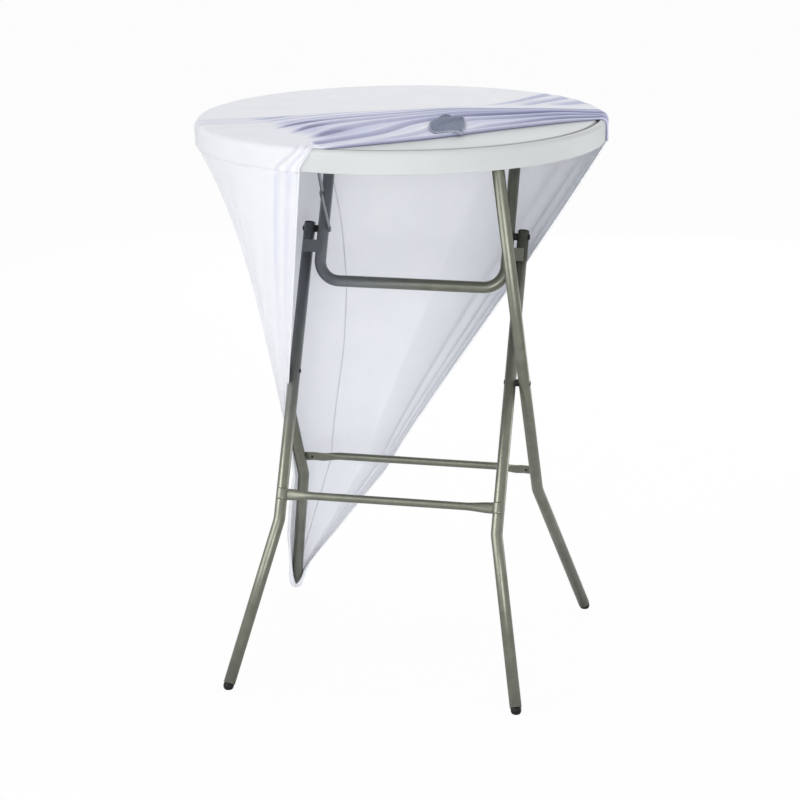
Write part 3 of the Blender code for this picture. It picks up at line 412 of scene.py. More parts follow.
def knit_finish(name, rib_scale, plain, folded, deep, glow):
    """A knit: ribs along and across, one colour on the surface and two more as the shade attribute rises: painted
    shade in the folds of the stretch knit, a paler stitched edge on the woven pocket.
    """
    knit, tree, shader, place = new_finish(name)
    weave = add(tree, "ShaderNodeAttribute", attribute_name="weave").outputs["Vector"]
    shade = add(tree, "ShaderNodeAttribute", attribute_name="shade").outputs["Fac"]
    ribs = []
    for direction in ("X", "Y"):
        values = {"Scale": rib_scale, "Distortion": 0.6}
        wave = add(tree, "ShaderNodeTexWave", values, bands_direction=direction)
        tree.links.new(weave, wave.inputs["Vector"])
        ribs.append(wave.outputs["Fac"])
    loops = combined(tree, "MULTIPLY", *ribs)
    soft = drifting(tree, place, CLOTH_DRIFT, plain)
    pale = mixed(tree, ranged(tree, shade, 0.0, 1.0, 0.0, 0.5), soft, folded)
    dark = mixed(tree, ranged(tree, shade, 0.0, 1.0, 0.5, 1.0), pale, deep)
    plain_values = {
        "Specular IOR Level": 0.20,
        "Sheen Weight": 0.05,
        "Sheen Roughness": 0.45,
        "Subsurface Weight": glow,
        "Subsurface Radius": (1.0, 1.0, 1.0),
        "Subsurface Scale": 0.004,
    }
    dress(tree, shader, dark, ranged(tree, loops, 0.66, 0.82, 0.0, 1.0), plain_values)
    relief = combined(tree, "MULTIPLY", loops, axis_parts(tree, weave)["Z"])
    bumped(tree, shader, relief, 0.18, 0.0003)
    return knit


KNIT = knit_finish("stretch_knit", KNIT_RIBS, WHITES, SHADE_LAVENDER, DEEP_SHADE_LAVENDER, 0.75)
WOVEN = knit_finish("woven_pocket", WOVEN_RIBS, BLUE_GREYS, PALE_BLUE, PALER_BLUE, 0.0)
print("made", KNIT.name, "and", WOVEN.name)

# %% [markdown]
# ## The CAD nodes that stay
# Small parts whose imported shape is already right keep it: brackets, links, rods, rivets and screws. They
# only get a finish. The record says which slot each node belongs to, so one loop does it.

# %% Finish every CAD node
SLOT_FINISH = {
    "white_plastic": PLASTIC,
    "grey_green_steel": PAINT,
    "black_plastic": BLACK,
    "white_stretch_cloth": KNIT,
}
for row in frame["record"]["subparts"]:
    node_mesh = frame["nodes"][row["node"]].data
    node_mesh.materials.clear()
    node_mesh.materials.append(SLOT_FINISH[row["material_slot"]])

# %% [markdown]
# ## Where things are
# The joints give the pivot lines and a few measures give the rest. All of them are the same numbers that
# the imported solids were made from, so the fine surfaces lie on the plain ones.

# %% Places
joint_place = {joint["name"]: np.array(joint["pos_m"], float) for joint in frame["joints"]}
REAR_HINGE = joint_place["fold"]
BRACE_HINGE = joint_place["brace"]
KNEE = joint_place["front_legs"]
TOP_RADIUS = 0.400
TOP_HEIGHT = 1.106
TUBE_RADIUS = 0.0105
TUBE_WALL = 0.0012
BRACE_HALF = 0.1925
FRONT_HALF = 0.2219
REAR_HALF = 0.2505
REAR_FOOT_Y = 0.305
FRONT_FOOT_Y = -0.3023
SPLAY = math.radians(11.5)
REAR_DOWN = unit([0.0, REAR_FOOT_Y - REAR_HINGE[1], -REAR_HINGE[2]])
FRONT_DOWN = unit([0.0, FRONT_FOOT_Y - KNEE[1], -KNEE[2]])
BRACE_DOWN = unit(KNEE - BRACE_HINGE)
REAR_BACK = np.cross(X_AXIS, REAR_DOWN)
FRONT_BACK = np.cross(X_AXIS, FRONT_DOWN)
crossing_lines = np.array([[REAR_DOWN[1], -FRONT_DOWN[1]], [REAR_DOWN[2], -FRONT_DOWN[2]]])
REAR_CROSSING, FRONT_CROSSING = np.linalg.solve(crossing_lines, (KNEE - REAR_HINGE)[1:])
CROSSING = REAR_HINGE + REAR_CROSSING * REAR_DOWN
print("scissor pivot at", np.round(CROSSING, 4))

# %% [markdown]
# ## The moulded top
# The top is one hollow moulding: a flat face with a shallow groove near the edge, a round edge, a rim that
# drafts inwards so that it leaves its mould, and a recessed underside. Underneath, rows of small dimples
# tie the two skins together. It is a turned shape, so an outline of radius and height is spun round;
# the dimples are then pressed into the underside as a hexagonal pattern.

# %% Top outline
EDGE_RADIUS = 0.009
CORNER_RADIUS = TOP_RADIUS - EDGE_RADIUS
RIM_BOTTOM = TOP_HEIGHT - 0.043
UNDERSIDE = TOP_HEIGHT - 0.022
GROOVE_RADIUS = 0.3850
GROOVE_HALF = 0.0055
GROOVE_DEPTH = 0.0038
LIP_DRAFT, LIP_RADIUS = 0.0013, 0.0022
RIM_INNER, INNER_ROUND = 0.395, 0.003
DIMPLE_PITCH = 0.046
DIMPLE_RADIUS = 0.0085
DIMPLE_DEPTH = 0.0045
DIMPLE_REACH = 0.375
BRACKET_X, BRACKET_CLEAR = 0.155, 0.030
FACE_STEPS, BASE_STEPS, TOP_STEPS = 24, 96, 400


def arc(centre, radius, start, end, count):
    """Points on part of a circle: centre plus radius times (sine, cosine), angles in degrees."""
    angle = np.radians(np.linspace(start, end, count))
    return np.stack([centre[0] + radius * np.sin(angle), centre[1] + radius * np.cos(angle)], axis=-1)


def level_run(start, end, count, height):
    """Points along a level line, from one radius to another."""
    return np.stack([np.linspace(start, end, count), np.full(count, height)], axis=-1)


def top_outline():
    """Radius and height from the middle of the face, over the edge, to the middle of the underside."""
    face = level_run(0.0, GROOVE_RADIUS - GROOVE_HALF, FACE_STEPS, TOP_HEIGHT)
    across = np.linspace(-1.0, 1.0, 13)[1:-1]
    dip = TOP_HEIGHT - GROOVE_DEPTH * np.cos(across * math.pi / 2) ** 2
    groove = np.stack([GROOVE_RADIUS + GROOVE_HALF * across, dip], axis=-1)
    edge = arc((CORNER_RADIUS, TOP_HEIGHT - EDGE_RADIUS), EDGE_RADIUS, 0.0, 90.0, 12)
    lip = arc((TOP_RADIUS - LIP_DRAFT - LIP_RADIUS, RIM_BOTTOM + LIP_RADIUS), LIP_RADIUS, 90.0, 180.0, 7)
    foot = np.array([[RIM_INNER, RIM_BOTTOM]])
    inner = arc((RIM_INNER - INNER_ROUND, UNDERSIDE - INNER_ROUND), INNER_ROUND, 90.0, 0.0, 6)
    base = level_run(RIM_INNER - INNER_ROUND, 0.0, BASE_STEPS, UNDERSIDE)[1:]
    return np.concatenate([face, groove, edge, lip, foot, inner, base])


def dimple_height(x, y):
    """How far the underside is pressed up: a round dimple at each point of a hexagonal pattern."""
    pressed = np.zeros_like(x)
    tall = DIMPLE_PITCH * math.sqrt(3.0)
    for shift in (0.0, 0.5):
        column = (np.round(x / DIMPLE_PITCH - shift) + shift) * DIMPLE_PITCH
        row = (np.round(y / tall - shift) + shift) * tall
        apart = np.hypot(x - column, y - row)
        clear = np.abs(np.abs(column) - BRACKET_X) > BRACKET_CLEAR
        clear = clear & (np.hypot(column, row) < DIMPLE_REACH)
        hollow = DIMPLE_DEPTH * fade(0.25 * DIMPLE_RADIUS, DIMPLE_RADIUS, apart)
        pressed = np.maximum(pressed, np.where(clear, hollow, 0.0))
    return pressed


outline = top_outline()
top_grid = ellipses(outline[:, 1:] * Z_AXIS, outline[:, :1] * X_AXIS, outline[:, :1] * Y_AXIS, TOP_STEPS)
under = top_grid[..., 2] == UNDERSIDE
top_grid[..., 2] += np.where(under, dimple_height(top_grid[..., 0], top_grid[..., 1]), 0.0)
table_top = solid_piece("moulded_top", top_grid, PLASTIC, 55.0)
settle(table_top, "top", "white_plastic", "table_top")
print("top:", len(table_top.data.polygons), "faces, box", [round(v, 3) for v in table_top.dimensions])

# %% [markdown]
# ## Bent tubes
# Each leg is one length of round steel tube with a bend low down that throws the foot outwards. The brace
# is a tube bent into a U. A tube is the simplest swept shape: a circle carried along a path. All bends of
# one tube lie in one plane, so the plane's normal serves as a fixed side direction and the circle never
# twists. A Solidify wall then makes it hollow, as the open ends show.

# %% Tube helpers
TUBE_SIDES = 36


def rounded_path(corners, radius, steps):
    """Points through the corners, with each inner corner replaced by a round bend."""
    corners = np.asarray(corners, float)
    runs = [corners[:1]]
    for before, corner, after in zip(corners, corners[1:], corners[2:]):
        into, out = unit(corner - before), unit(after - corner)
        turn = math.acos(float(np.clip(into @ out, -1.0, 1.0)))
        first = corner - into * radius * math.tan(turn / 2)
        centre = corner + unit(out - into) * radius / math.cos(turn / 2)
        angle = np.linspace(0.0, turn, steps)[:, None]
        runs.append(centre + (first - centre) * np.cos(angle) + into * radius * np.sin(angle))
    runs.append(corners[-1:])
    return np.concatenate(runs)


def steel_tube(name, path, side, body):
    """One hollow painted tube, a circle along a flat path, that stands for the CAD node of its name."""
    along = unit(np.gradient(path, axis=0))
    inward = unit(np.cross(side, along))
    sideways = np.broadcast_to(unit(side), path.shape)
    grid = ellipses(path, TUBE_RADIUS * inward, TUBE_RADIUS * sideways, TUBE_SIDES)
    mesh = grid_mesh(name, grid, closed=True)
    mesh.flip_normals()
    made = thicken(piece(f"{name}_tube", mesh, PAINT), TUBE_WALL, -1.0)
    return settle(made, body, "grey_green_steel", name)


print("tube helpers ready")

# %% Legs and brace
KINK_BELOW_CROSSING = 0.304
KINK_RADIUS, KINK_STEPS = 0.060, 9
FOOT_SOLE_DEPTH = 0.0035
FOOT_COLLAR = 0.005
POCKET_SOLE = 0.0017
REAR_LEG_ABOVE_HINGE = 0.006
FRONT_LEG_ABOVE_KNEE = 0.0105
BRACE_ABOVE_HINGE = 0.005
BRACE_BAR_BELOW_KNEE = 0.1065
BRACE_BEND_RADIUS, BRACE_BEND_STEPS = 0.043, 14
LEGS = {
    "rear": (REAR_HINGE, REAR_DOWN, REAR_CROSSING, REAR_HALF, REAR_LEG_ABOVE_HINGE),
    "front": (KNEE, FRONT_DOWN, FRONT_CROSSING, FRONT_HALF, FRONT_LEG_ABOVE_KNEE),
}


def leg(row, side, sign, sole):
    """One leg, bent below the crossing; returns its end, its splayed direction, its sole and its body."""
    hinge, down, crossing, half, above = LEGS[row]
    outward = X_AXIS * sign * half
    kink = hinge + down * (crossing + KINK_BELOW_CROSSING) + outward
    splayed = down * math.cos(SPLAY) + X_AXIS * sign * math.sin(SPLAY)
    end_height = sole + TUBE_RADIUS - FOOT_SOLE_DEPTH - FOOT_COLLAR * splayed[2]
    end = kink + splayed * (end_height - kink[2]) / splayed[2]
    path = rounded_path([hinge + outward - down * above, kink, end], KINK_RADIUS, KINK_STEPS)
    body = f"{row}_leg_frame"
    steel_tube(f"{row}_leg_{side}", path, np.cross(X_AXIS, down), body)
    return end, splayed, sole, body


FEET = {}
for side, sign in SIDES:
    for row in LEGS:
        sole = POCKET_SOLE if (row, side) == ("rear", "left") else 0.0
        FEET[f"{row}_foot_{side}"] = leg(row, side, sign, sole)

arm_end = BRACE_HINGE - BRACE_DOWN * BRACE_ABOVE_HINGE
bar_place = KNEE + BRACE_DOWN * BRACE_BAR_BELOW_KNEE
half = X_AXIS * BRACE_HALF
brace_corners = [arm_end - half, bar_place - half, bar_place + half, arm_end + half]
brace_path = rounded_path(brace_corners, BRACE_BEND_RADIUS, BRACE_BEND_STEPS)
steel_tube("brace_tube", brace_path, np.cross(X_AXIS, BRACE_DOWN), "brace")
print("rear left foot at", np.round(FEET["rear_foot_left"][0], 4))

# %% [markdown]
# ## Crossbars
# Two bars keep the legs apart. The rear one is a round rod with flattened ends that lie on the backs of
# the legs, a little further back where the front legs fold past. The front one swells towards its ends,
# which are beaten into saddles and welded round the inner sides of the legs. Both are ellipses carried
# along X whose two half axes change smoothly.

# %% Crossbars
REAR_BAR = REAR_HINGE + REAR_DOWN * 0.8175
REAR_BAR_RADIUS, REAR_BAR_DEPTH = 0.0078, 0.0080
FLAT_FROM, FLAT_TO = REAR_HALF - 0.0850, REAR_HALF - 0.0400
FLAT_TALL, FLAT_THICK, FLAT_DEPTH = 0.0120, 0.0023, 0.0026
SET_BACK, SET_BACK_WIDTH = 0.0014, 0.012
FRONT_BAR = KNEE + FRONT_DOWN * (FRONT_CROSSING + 0.2525)
FRONT_BAR_RADIUS, FRONT_BAR_INSET = 0.008, 0.0088
SWELL_FROM, SWELL_TO, SWELL_TALL = FRONT_HALF - 0.070, FRONT_HALF - 0.012, 0.0114
BAR_STEPS, BAR_SIDES = 181, 32


def rear_bar_grid():
    """A rod whose ends flatten to 4.6 mm and spread to 24 mm, and step forward onto the legs."""
    x_end = REAR_HALF + TUBE_RADIUS * 0.6
    x = np.linspace(-x_end, x_end, BAR_STEPS)
    share = fade(FLAT_FROM, FLAT_TO, np.abs(x))
    blunt = np.sqrt(1.0 - 0.6 * smoothstep(x_end - 0.005, x_end, np.abs(x)) ** 2)
    depth = TUBE_RADIUS + FLAT_DEPTH + share * (REAR_BAR_DEPTH - FLAT_DEPTH)
    depth = depth + SET_BACK * bell(np.abs(x), FRONT_HALF, SET_BACK_WIDTH)
    tall = (FLAT_TALL + share * (REAR_BAR_RADIUS - FLAT_TALL)) * blunt
    thick = (FLAT_THICK + share * (REAR_BAR_RADIUS - FLAT_THICK)) * np.sqrt(blunt)
    centre = REAR_BAR + x[:, None] * X_AXIS + depth[:, None] * REAR_BACK
    return ellipses(centre, tall[:, None] * REAR_DOWN, thick[:, None] * REAR_BACK, BAR_SIDES)


def front_bar_grid():
    """A rod that swells towards its ends, which stop just inside the walls of the legs."""
    x_end = FRONT_HALF - FRONT_BAR_INSET
    x = np.linspace(-x_end, x_end, BAR_STEPS)
    share = smoothstep(SWELL_FROM, SWELL_TO, np.abs(x))
    tall = FRONT_BAR_RADIUS + share * (SWELL_TALL - FRONT_BAR_RADIUS)
    thick = FRONT_BAR_RADIUS * (1.0 - 0.3 * share)
    centre = FRONT_BAR + x[:, None] * X_AXIS
    return ellipses(centre, tall[:, None] * FRONT_DOWN, thick[:, None] * FRONT_BACK, BAR_SIDES)


for row, bar_grid in (("rear", rear_bar_grid()), ("front", front_bar_grid())):
    bar = solid_piece(f"{row}_crossbar_rod", bar_grid, PAINT, 40.0, capped=True)
    settle(bar, f"{row}_leg_frame", "grey_green_steel", f"{row}_crossbar")
print("crossbars:", np.round(REAR_BAR, 3), np.round(FRONT_BAR, 3))

# %% Welded saddles
SADDLE_TURN = np.radians(np.linspace(-136.0, 48.0, 61))
SADDLE_ROWS = np.linspace(-1.0, 1.0, 25)
SADDLE_HALF, SADDLE_WALL = 0.0122, 0.0008
SADDLE_LIFT, SADDLE_EDGE = 0.0030, 0.0026


def saddle_grid(sign):
    """The bar's end, beaten into a half sleeve: leg axis + r (cos a * inward + sin a * back)."""
    angle, along = pairs(SADDLE_TURN, SADDLE_ROWS)
    middle = (SADDLE_TURN[0] + SADDLE_TURN[-1]) / 2
    edge = np.maximum(np.abs(angle - middle) / (SADDLE_TURN[-1] - middle), np.abs(along)) ** 12
    ripple = 0.00025 * np.sin(22.0 * angle) * smoothstep(0.7, 1.0, np.abs(along))
    radius = (TUBE_RADIUS + SADDLE_LIFT - SADDLE_EDGE * edge + ripple)[..., None]
    inward = -sign * X_AXIS
    centre = FRONT_BAR + sign * FRONT_HALF * X_AXIS + SADDLE_HALF * along[..., None] * FRONT_DOWN
    return centre + radius * (np.cos(angle)[..., None] * inward + np.sin(angle)[..., None] * FRONT_BACK)


for side, sign in SIDES:
    saddle_mesh = grid_mesh(f"saddle_{side}", saddle_grid(sign))
    if sign > 0:
        saddle_mesh.flip_normals()
    saddle = thicken(piece(f"front_bar_saddle_{side}", saddle_mesh, PAINT), SADDLE_WALL, -1.0)
    settle(saddle, "front_leg_frame", "grey_green_steel")
print("two saddles")

# %% [markdown]
# ## Turned fittings
# Feet, caps, bolt heads and spacers are all turned shapes, each on its own axis. The foot plugs are black
# domes pushed into the tubes and worn flat where they stand, so their lowest points are clamped to the
# floor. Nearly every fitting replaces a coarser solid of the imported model.

# %% Fitting helpers
FITTING_STEPS, FITTING_SHARP = 48, 50.0


def turned_about(outline, centre, axis):
    """An outline of radius and distance spun about an axis through the centre."""
    axis = unit(axis)
    first = unit(np.cross(axis, X_AXIS if abs(axis[0]) < 0.9 else Z_AXIS))
    outline = np.asarray(outline, float)
    radius, away = outline[:, :1], outline[:, 1:]
    return ellipses(centre + away * axis, radius * first, radius * np.cross(axis, first), FITTING_STEPS)


def fitting(node, outline, centre, axis, body):
    """A fine turned black fitting that stands for a CAD node."""
    made = solid_piece(f"{node}_fine", turned_about(outline, centre, axis), BLACK, FITTING_SHARP)
    return settle(made, body, "black_plastic", node)


def domed_head(radius, height, shank, length):
    """A bolt: a round-edged, slightly domed head from 0 outwards and a shank from 0 inwards."""
    curve = np.radians(np.linspace(0.0, 90.0, 7))
    dome = [radius * (0.72 + 0.28 * np.sin(curve)), height * (0.35 + 0.57 * np.cos(curve))]
    rest = [(radius, 0.0), (shank, 0.0), (shank, -length), (0.0, -length)]
    return np.concatenate([[(0.0, height), (radius * 0.4, height * 0.98)], np.stack(dome, axis=-1), rest])


def soft_ring(bore, radius, start, end):
    """A spacer: a ring with rounded outer corners, closed round its bore."""
    soft = min(0.0012, (end - start) / 3)
    low = arc((radius - soft, start + soft), soft, 180.0, 90.0, 5)
    high = arc((radius - soft, end - soft), soft, 90.0, 0.0, 5)
    return np.concatenate([[(bore, start)], low, high, [(bore, end), (bore, start)]])


print("fitting helpers ready")

# %% Feet
SEAT_GAP = 0.0003
PLUG_LENGTH = 0.022


def foot_outline():
    """A foot plug: a plug inside the tube, a collar with a small step, and a round dome below."""
    plug = TUBE_RADIUS - TUBE_WALL - SEAT_GAP
    dome = np.radians(np.linspace(0.0, 90.0, 14))
    ball = np.stack([TUBE_RADIUS * np.cos(dome), FOOT_COLLAR + TUBE_RADIUS * np.sin(dome)], axis=-1)
    collar = [(plug, SEAT_GAP), (TUBE_RADIUS - 0.0006, SEAT_GAP), (TUBE_RADIUS, 0.0010)]
    return np.concatenate([[(0.0, -PLUG_LENGTH), (plug, -PLUG_LENGTH)], collar, ball])


for node, (end, splayed, sole, body) in FEET.items():
    foot_grid = turned_about(foot_outline(), end, splayed)
    foot_grid[..., 2] = np.maximum(foot_grid[..., 2], sole)
    settle(solid_piece(f"{node}_plug", foot_grid, BLACK, FITTING_SHARP), body, "black_plastic", node)
print("feet:", len(FEET))

# %% Caps, bolts, spacers and rivets
CAP_CORNER = arc((0.0094, 0.0012), 0.0018, 0.0, 90.0, 6)
CAP_UNDER = [(0.0112, SEAT_GAP), (0.0090, SEAT_GAP), (0.0090, -0.0065), (0.0, -0.0065)]
CAP_OUTLINE = np.concatenate([[(0.0, 0.0030), (0.0060, 0.0029)], CAP_CORNER, CAP_UNDER])
ROD_CAP_CORNER = arc((0.0058, 0.0040), 0.0014, 0.0, 90.0, 5)
ROD_CAP_UNDER = [(0.0072, SEAT_GAP), (0.0053, SEAT_GAP), (0.0, 0.0004)]
ROD_CAP_OUTLINE = np.concatenate([[(0.0, 0.0054)], ROD_CAP_CORNER, ROD_CAP_UNDER])
SHANK = 0.0034
SPACER = (0.0037, 0.0072)
CROSSING_HEAD, KNEE_HEAD, KNEE_END_HEAD = (0.0050, 0.0020), (0.0060, 0.0028), (0.0056, 0.0014)
CROSSING_BOLT_LENGTH, CROSSING_NUT_LENGTH, KNEE_END_LENGTH = 0.0286, 0.0213, 0.002
CROSSING_REACH = TUBE_RADIUS + 0.0001
SPACER_REACH = TUBE_RADIUS + SEAT_GAP
STAY_LINK = 0.0033
RIVET_OUTLINE = domed_head(0.0034, 0.00025, 0.0030, 0.004)
RIVET_INSET, RIVET_BACK = 0.0215, 0.0119

for side, sign in SIDES:
    outward = sign * X_AXIS
    cap_place = KNEE + FRONT_HALF * outward - FRONT_DOWN * FRONT_LEG_ABOVE_KNEE
    fitting(f"front_leg_cap_{side}", CAP_OUTLINE, cap_place, -FRONT_DOWN, "front_leg_frame")
    rod_end = BRACE_HINGE + outward * (BRACE_HALF + TUBE_RADIUS)
    fitting(f"brace_rod_cap_{side}", ROD_CAP_OUTLINE, rod_end, outward, "top")
    bolt = domed_head(*CROSSING_HEAD, SHANK, CROSSING_BOLT_LENGTH)
    bolt_place = CROSSING + outward * (REAR_HALF + CROSSING_REACH)
    fitting(f"crossing_bolt_{side}", bolt, bolt_place, outward, "rear_leg_frame")
    nut = domed_head(*CROSSING_HEAD, SHANK, CROSSING_NUT_LENGTH)
    nut_place = CROSSING + outward * (FRONT_HALF - CROSSING_REACH)
    fitting(f"crossing_nut_{side}", nut, nut_place, -outward, "front_leg_frame")
    ring = soft_ring(*SPACER, FRONT_HALF + SPACER_REACH, REAR_HALF - SPACER_REACH)
    fitting(f"crossing_spacer_{side}", ring, CROSSING, outward, "rear_leg_frame")
    ring = soft_ring(*SPACER, BRACE_HALF + SPACER_REACH, FRONT_HALF - SPACER_REACH)
    fitting(f"knee_spacer_{side}", ring, KNEE, outward, "brace")
    bolt_start = FRONT_HALF + SPACER_REACH
    bolt_end = BRACE_HALF - SPACER_REACH - (STAY_LINK if side == "left" else 0.0)
    bolt = domed_head(*KNEE_HEAD, SHANK, bolt_start - bolt_end)
    fitting(f"knee_bolt_{side}", bolt, KNEE + outward * bolt_start, outward, "brace")
    end_outline = domed_head(*KNEE_END_HEAD, SHANK, KNEE_END_LENGTH)
    end_grid = turned_about(end_outline, KNEE + outward * bolt_end, -outward)
    bolt_tip = solid_piece(f"knee_bolt_end_{side}", end_grid, PAINT, FITTING_SHARP)
    settle(bolt_tip, "brace", "grey_green_steel")
    rivet_place = REAR_BAR + outward * (REAR_HALF - RIVET_INSET) + REAR_BACK * RIVET_BACK
    fitting(f"rear_crossbar_rivet_{side}", RIVET_OUTLINE, rivet_place, -REAR_BACK, "rear_leg_frame")
print("caps, bolts, spacers and rivets on both sides")

# %% [markdown]
# ## The stretch cover
# The cover is a white stretch bag for the whole table. Here it is half on: its round top lies on the table,
# one corner pocket is hooked under the rear left foot, and the front has been pushed back over the top in
# long folds. Simulated cloth would settle differently on each change, and this cloth is held in tension
# between known places, so the sheets are formulas: each is a surface between measured lines, with folds
# added along its normal.

# %% Cloth helpers
CLOTH = 0.0013
CLOTH_SHARP = 70.0
LIFT = 0.0011


def through(points, share):
    """A smooth line through points (Catmull-Rom): each span is a cubic with matching slopes."""
    points = np.asarray(points, float)
    ends = np.concatenate([2 * points[:1] - points[1:2], points, 2 * points[-1:] - points[-2:-1]])
    place = np.clip(share, 0.0, 1.0) * (len(points) - 1)
    span = np.minimum(place.astype(int), len(points) - 2)
    t = (place - span)[..., None]
    a, b, c, d = ends[span], ends[span + 1], ends[span + 2], ends[span + 3]
    slope, bow, twist = c - a, 2 * a - 5 * b + 4 * c - d, 3 * b - a - 3 * c + d
    return 0.5 * (2 * b + slope * t + bow * t ** 2 + twist * t ** 3)


def on_edge(degrees):
    """The place on the flat top, just before its round edge, at an angle about the middle."""
    return CORNER_RADIUS * on_circle(np.radians(degrees))


def edge_bend(over):
    """The angle turned after some way over the round edge, up to a quarter turn."""
    return np.clip(over / EDGE_RADIUS, 0.0, math.pi / 2)


def over_rim(degrees, over, lift):
    """Places past the flat top: a quarter circle round the edge, then straight down the rim."""
    angle, over, lift = np.broadcast_arrays(np.radians(degrees), over, lift)
    bend = edge_bend(over)
    drop = np.clip(over - EDGE_RADIUS * math.pi / 2, 0.0, None)
    reach = CORNER_RADIUS + (EDGE_RADIUS + lift) * np.sin(bend)
    height = TOP_HEIGHT - EDGE_RADIUS + (EDGE_RADIUS + lift) * np.cos(bend) - drop
    return at_height(reach[..., None] * on_circle(angle), height)


def grid_normal(grid):
    """The unit normal of a grid at every point, from its two directions of travel."""
    return unit(np.cross(np.gradient(grid, axis=0), np.gradient(grid, axis=1)))


def thread_lengths(grid):
    """Metres along both directions of a grid for the knit pattern, and how open the knit is, from 0 to 1."""
    lengths = []
    for way in (0, 1):
        steps = np.linalg.norm(np.diff(grid, axis=way), axis=-1).mean(axis=1 - way)
        lengths.append(np.concatenate([[0.0], np.cumsum(steps)]))
    local = np.linalg.norm(np.gradient(grid, axis=0), axis=-1)
    crowded = local / np.maximum(local.mean(axis=1, keepdims=True), 1e-9)
    return np.stack([*pairs(*lengths), np.clip(crowded, 0.0, 1.0) ** 2], axis=-1)


def cloth_mesh(name, grid, shade, **ends):
    """A mesh of a grid that carries its thread lengths and its depth in the folds on the points."""
    mesh = grid_mesh(name, grid, **ends)
    weave = mesh.attributes.new("weave", "FLOAT_VECTOR", "POINT")
    weave.data.foreach_set("vector", thread_lengths(grid).reshape(-1).astype(np.float32))
    depth = mesh.attributes.new("shade", "FLOAT", "POINT")
    shade = np.broadcast_to(np.clip(shade, 0.0, 1.0), grid.shape[:2])
    depth.data.foreach_set("value", shade.reshape(-1).astype(np.float32))
    return mesh


def cloth(name, grid, shade, closed=False, look=KNIT):
    """A sheet of cloth with a wall on both sides of its surface."""
    return thicken(piece(name, cloth_mesh(name, grid, shade, closed=closed), look, CLOTH_SHARP), CLOTH, 0.0)


print("cloth helpers ready")

# %% [markdown]
# The band is the gathered front of the cover. It runs from the front left rim to the right rim, held there
# by its own tension. Two lines bound it: its hem, which rolls under, and its upper edge, where it flattens
# into the smooth panel. Between them lie long pleats. Each pleat leans towards the hem, is creased where it
# meets the next, and fades out towards the left, where only the hem's bundle goes over the rim. Places on
# the band are named by s, from left to right, and q, from the hem to the upper edge.

# %% Band: its base surface
HEM_LEFT, HEM_RIGHT = 256.0, 6.0
HEM_LEFT_TOP, HEM_RIGHT_TOP = 259.5, 4.0
UPPER_LEFT, UPPER_RIGHT = 198.5, 57.0
HEM_INNER = [(-0.030, -0.372), (0.115, -0.246), (0.222, -0.126), (0.329, -0.019)]
UPPER_INNER = [(-0.262, -0.073), (-0.144, 0.008), (0.037, 0.102), (0.150, 0.185)]
HEM_POINTS = [on_edge(HEM_LEFT_TOP), *HEM_INNER, on_edge(HEM_RIGHT_TOP)]
UPPER_POINTS = [on_edge(UPPER_LEFT), *UPPER_INNER, on_edge(UPPER_RIGHT)]
BUNDLE_POWER, BUNDLE_SPREAD = 1.45, 0.30
RIM_RUN = 0.0480
BAND_STEPS = (24, 260, 24)
BAND_ACROSS = 240


def rim_turns(q, over):
    """The angle of each thread at the left and the right rim; over the rim the bundle spreads a little."""
    down = smoothstep(0.0, RIM_RUN, over)
    left_hem = HEM_LEFT_TOP + down * (HEM_LEFT - HEM_LEFT_TOP)
    right_hem = HEM_RIGHT_TOP + down * (HEM_RIGHT - HEM_RIGHT_TOP)
    left = left_hem + (UPPER_LEFT - left_hem) * q ** (BUNDLE_POWER - BUNDLE_SPREAD * down)
    return left, right_hem + (UPPER_RIGHT - right_hem) * q


def band_base():
    """Base places and normals of the band, with s, q and the run over the rim at each of them."""
    left, middle, right = BAND_STEPS
    s = np.concatenate([np.zeros(left), np.linspace(0.0, 1.0, middle), np.ones(right)])
    down = np.linspace(RIM_RUN, 0.0, left, endpoint=False)
    over = np.concatenate([down, np.zeros(middle), np.linspace(0.0, RIM_RUN, right + 1)[1:]])
    s, q = pairs(s, np.linspace(0.0, 1.0, BAND_ACROSS))
    over = np.broadcast_to(over[:, None], s.shape)
    flat = through(HEM_POINTS, s) * (1.0 - q[..., None]) + through(UPPER_POINTS, s) * q[..., None]
    left_turn, right_turn = rim_turns(q, over)
    for turn, weight, ends in ((left_turn, (1.0 - s) ** 5, 0), (right_turn, s ** 5, -1)):
        chord = HEM_POINTS[ends] + q[..., None] * (UPPER_POINTS[ends] - HEM_POINTS[ends])
        flat = flat + weight[..., None] * (on_edge(turn) - chord)
    turn = np.where(s < 0.5, left_turn, right_turn)
    base = np.where((over > 0.0)[..., None], over_rim(turn, over, 0.0), at_height(flat, TOP_HEIGHT))
    bend = edge_bend(over)
    normal = at_height(np.sin(bend)[..., None] * on_circle(np.radians(turn)), np.cos(bend))
    return base, normal, s, q, over


band_places, band_normals, band_s, band_q, band_over = band_base()
print("band base", band_places.shape)

# %% Band: its pleats
PLEATS = 8.5
CREST = 0.66
TAIL_SHARE = 0.16
TAIL_HEIGHT = 0.0045


def tail_lobes(q):
    """Two soft round folds beside the hem, where the bundle goes over the left rim."""
    return TAIL_HEIGHT * np.sin(2 * math.pi * q / TAIL_SHARE) ** 2 * (q < TAIL_SHARE)


def tail_lines(q):
    """The faint shade between those folds."""
    return 0.16 * np.cos(2 * math.pi * q / TAIL_SHARE) ** 4 * (q < 1.1 * TAIL_SHARE) * (q > 0.01)


def pleat_reach(s):
    """How far up the band the pleats go: all the way on the left, a third of it at the right rim."""
    return 1.0 - 0.72 * smoothstep(0.58, 1.08, s)


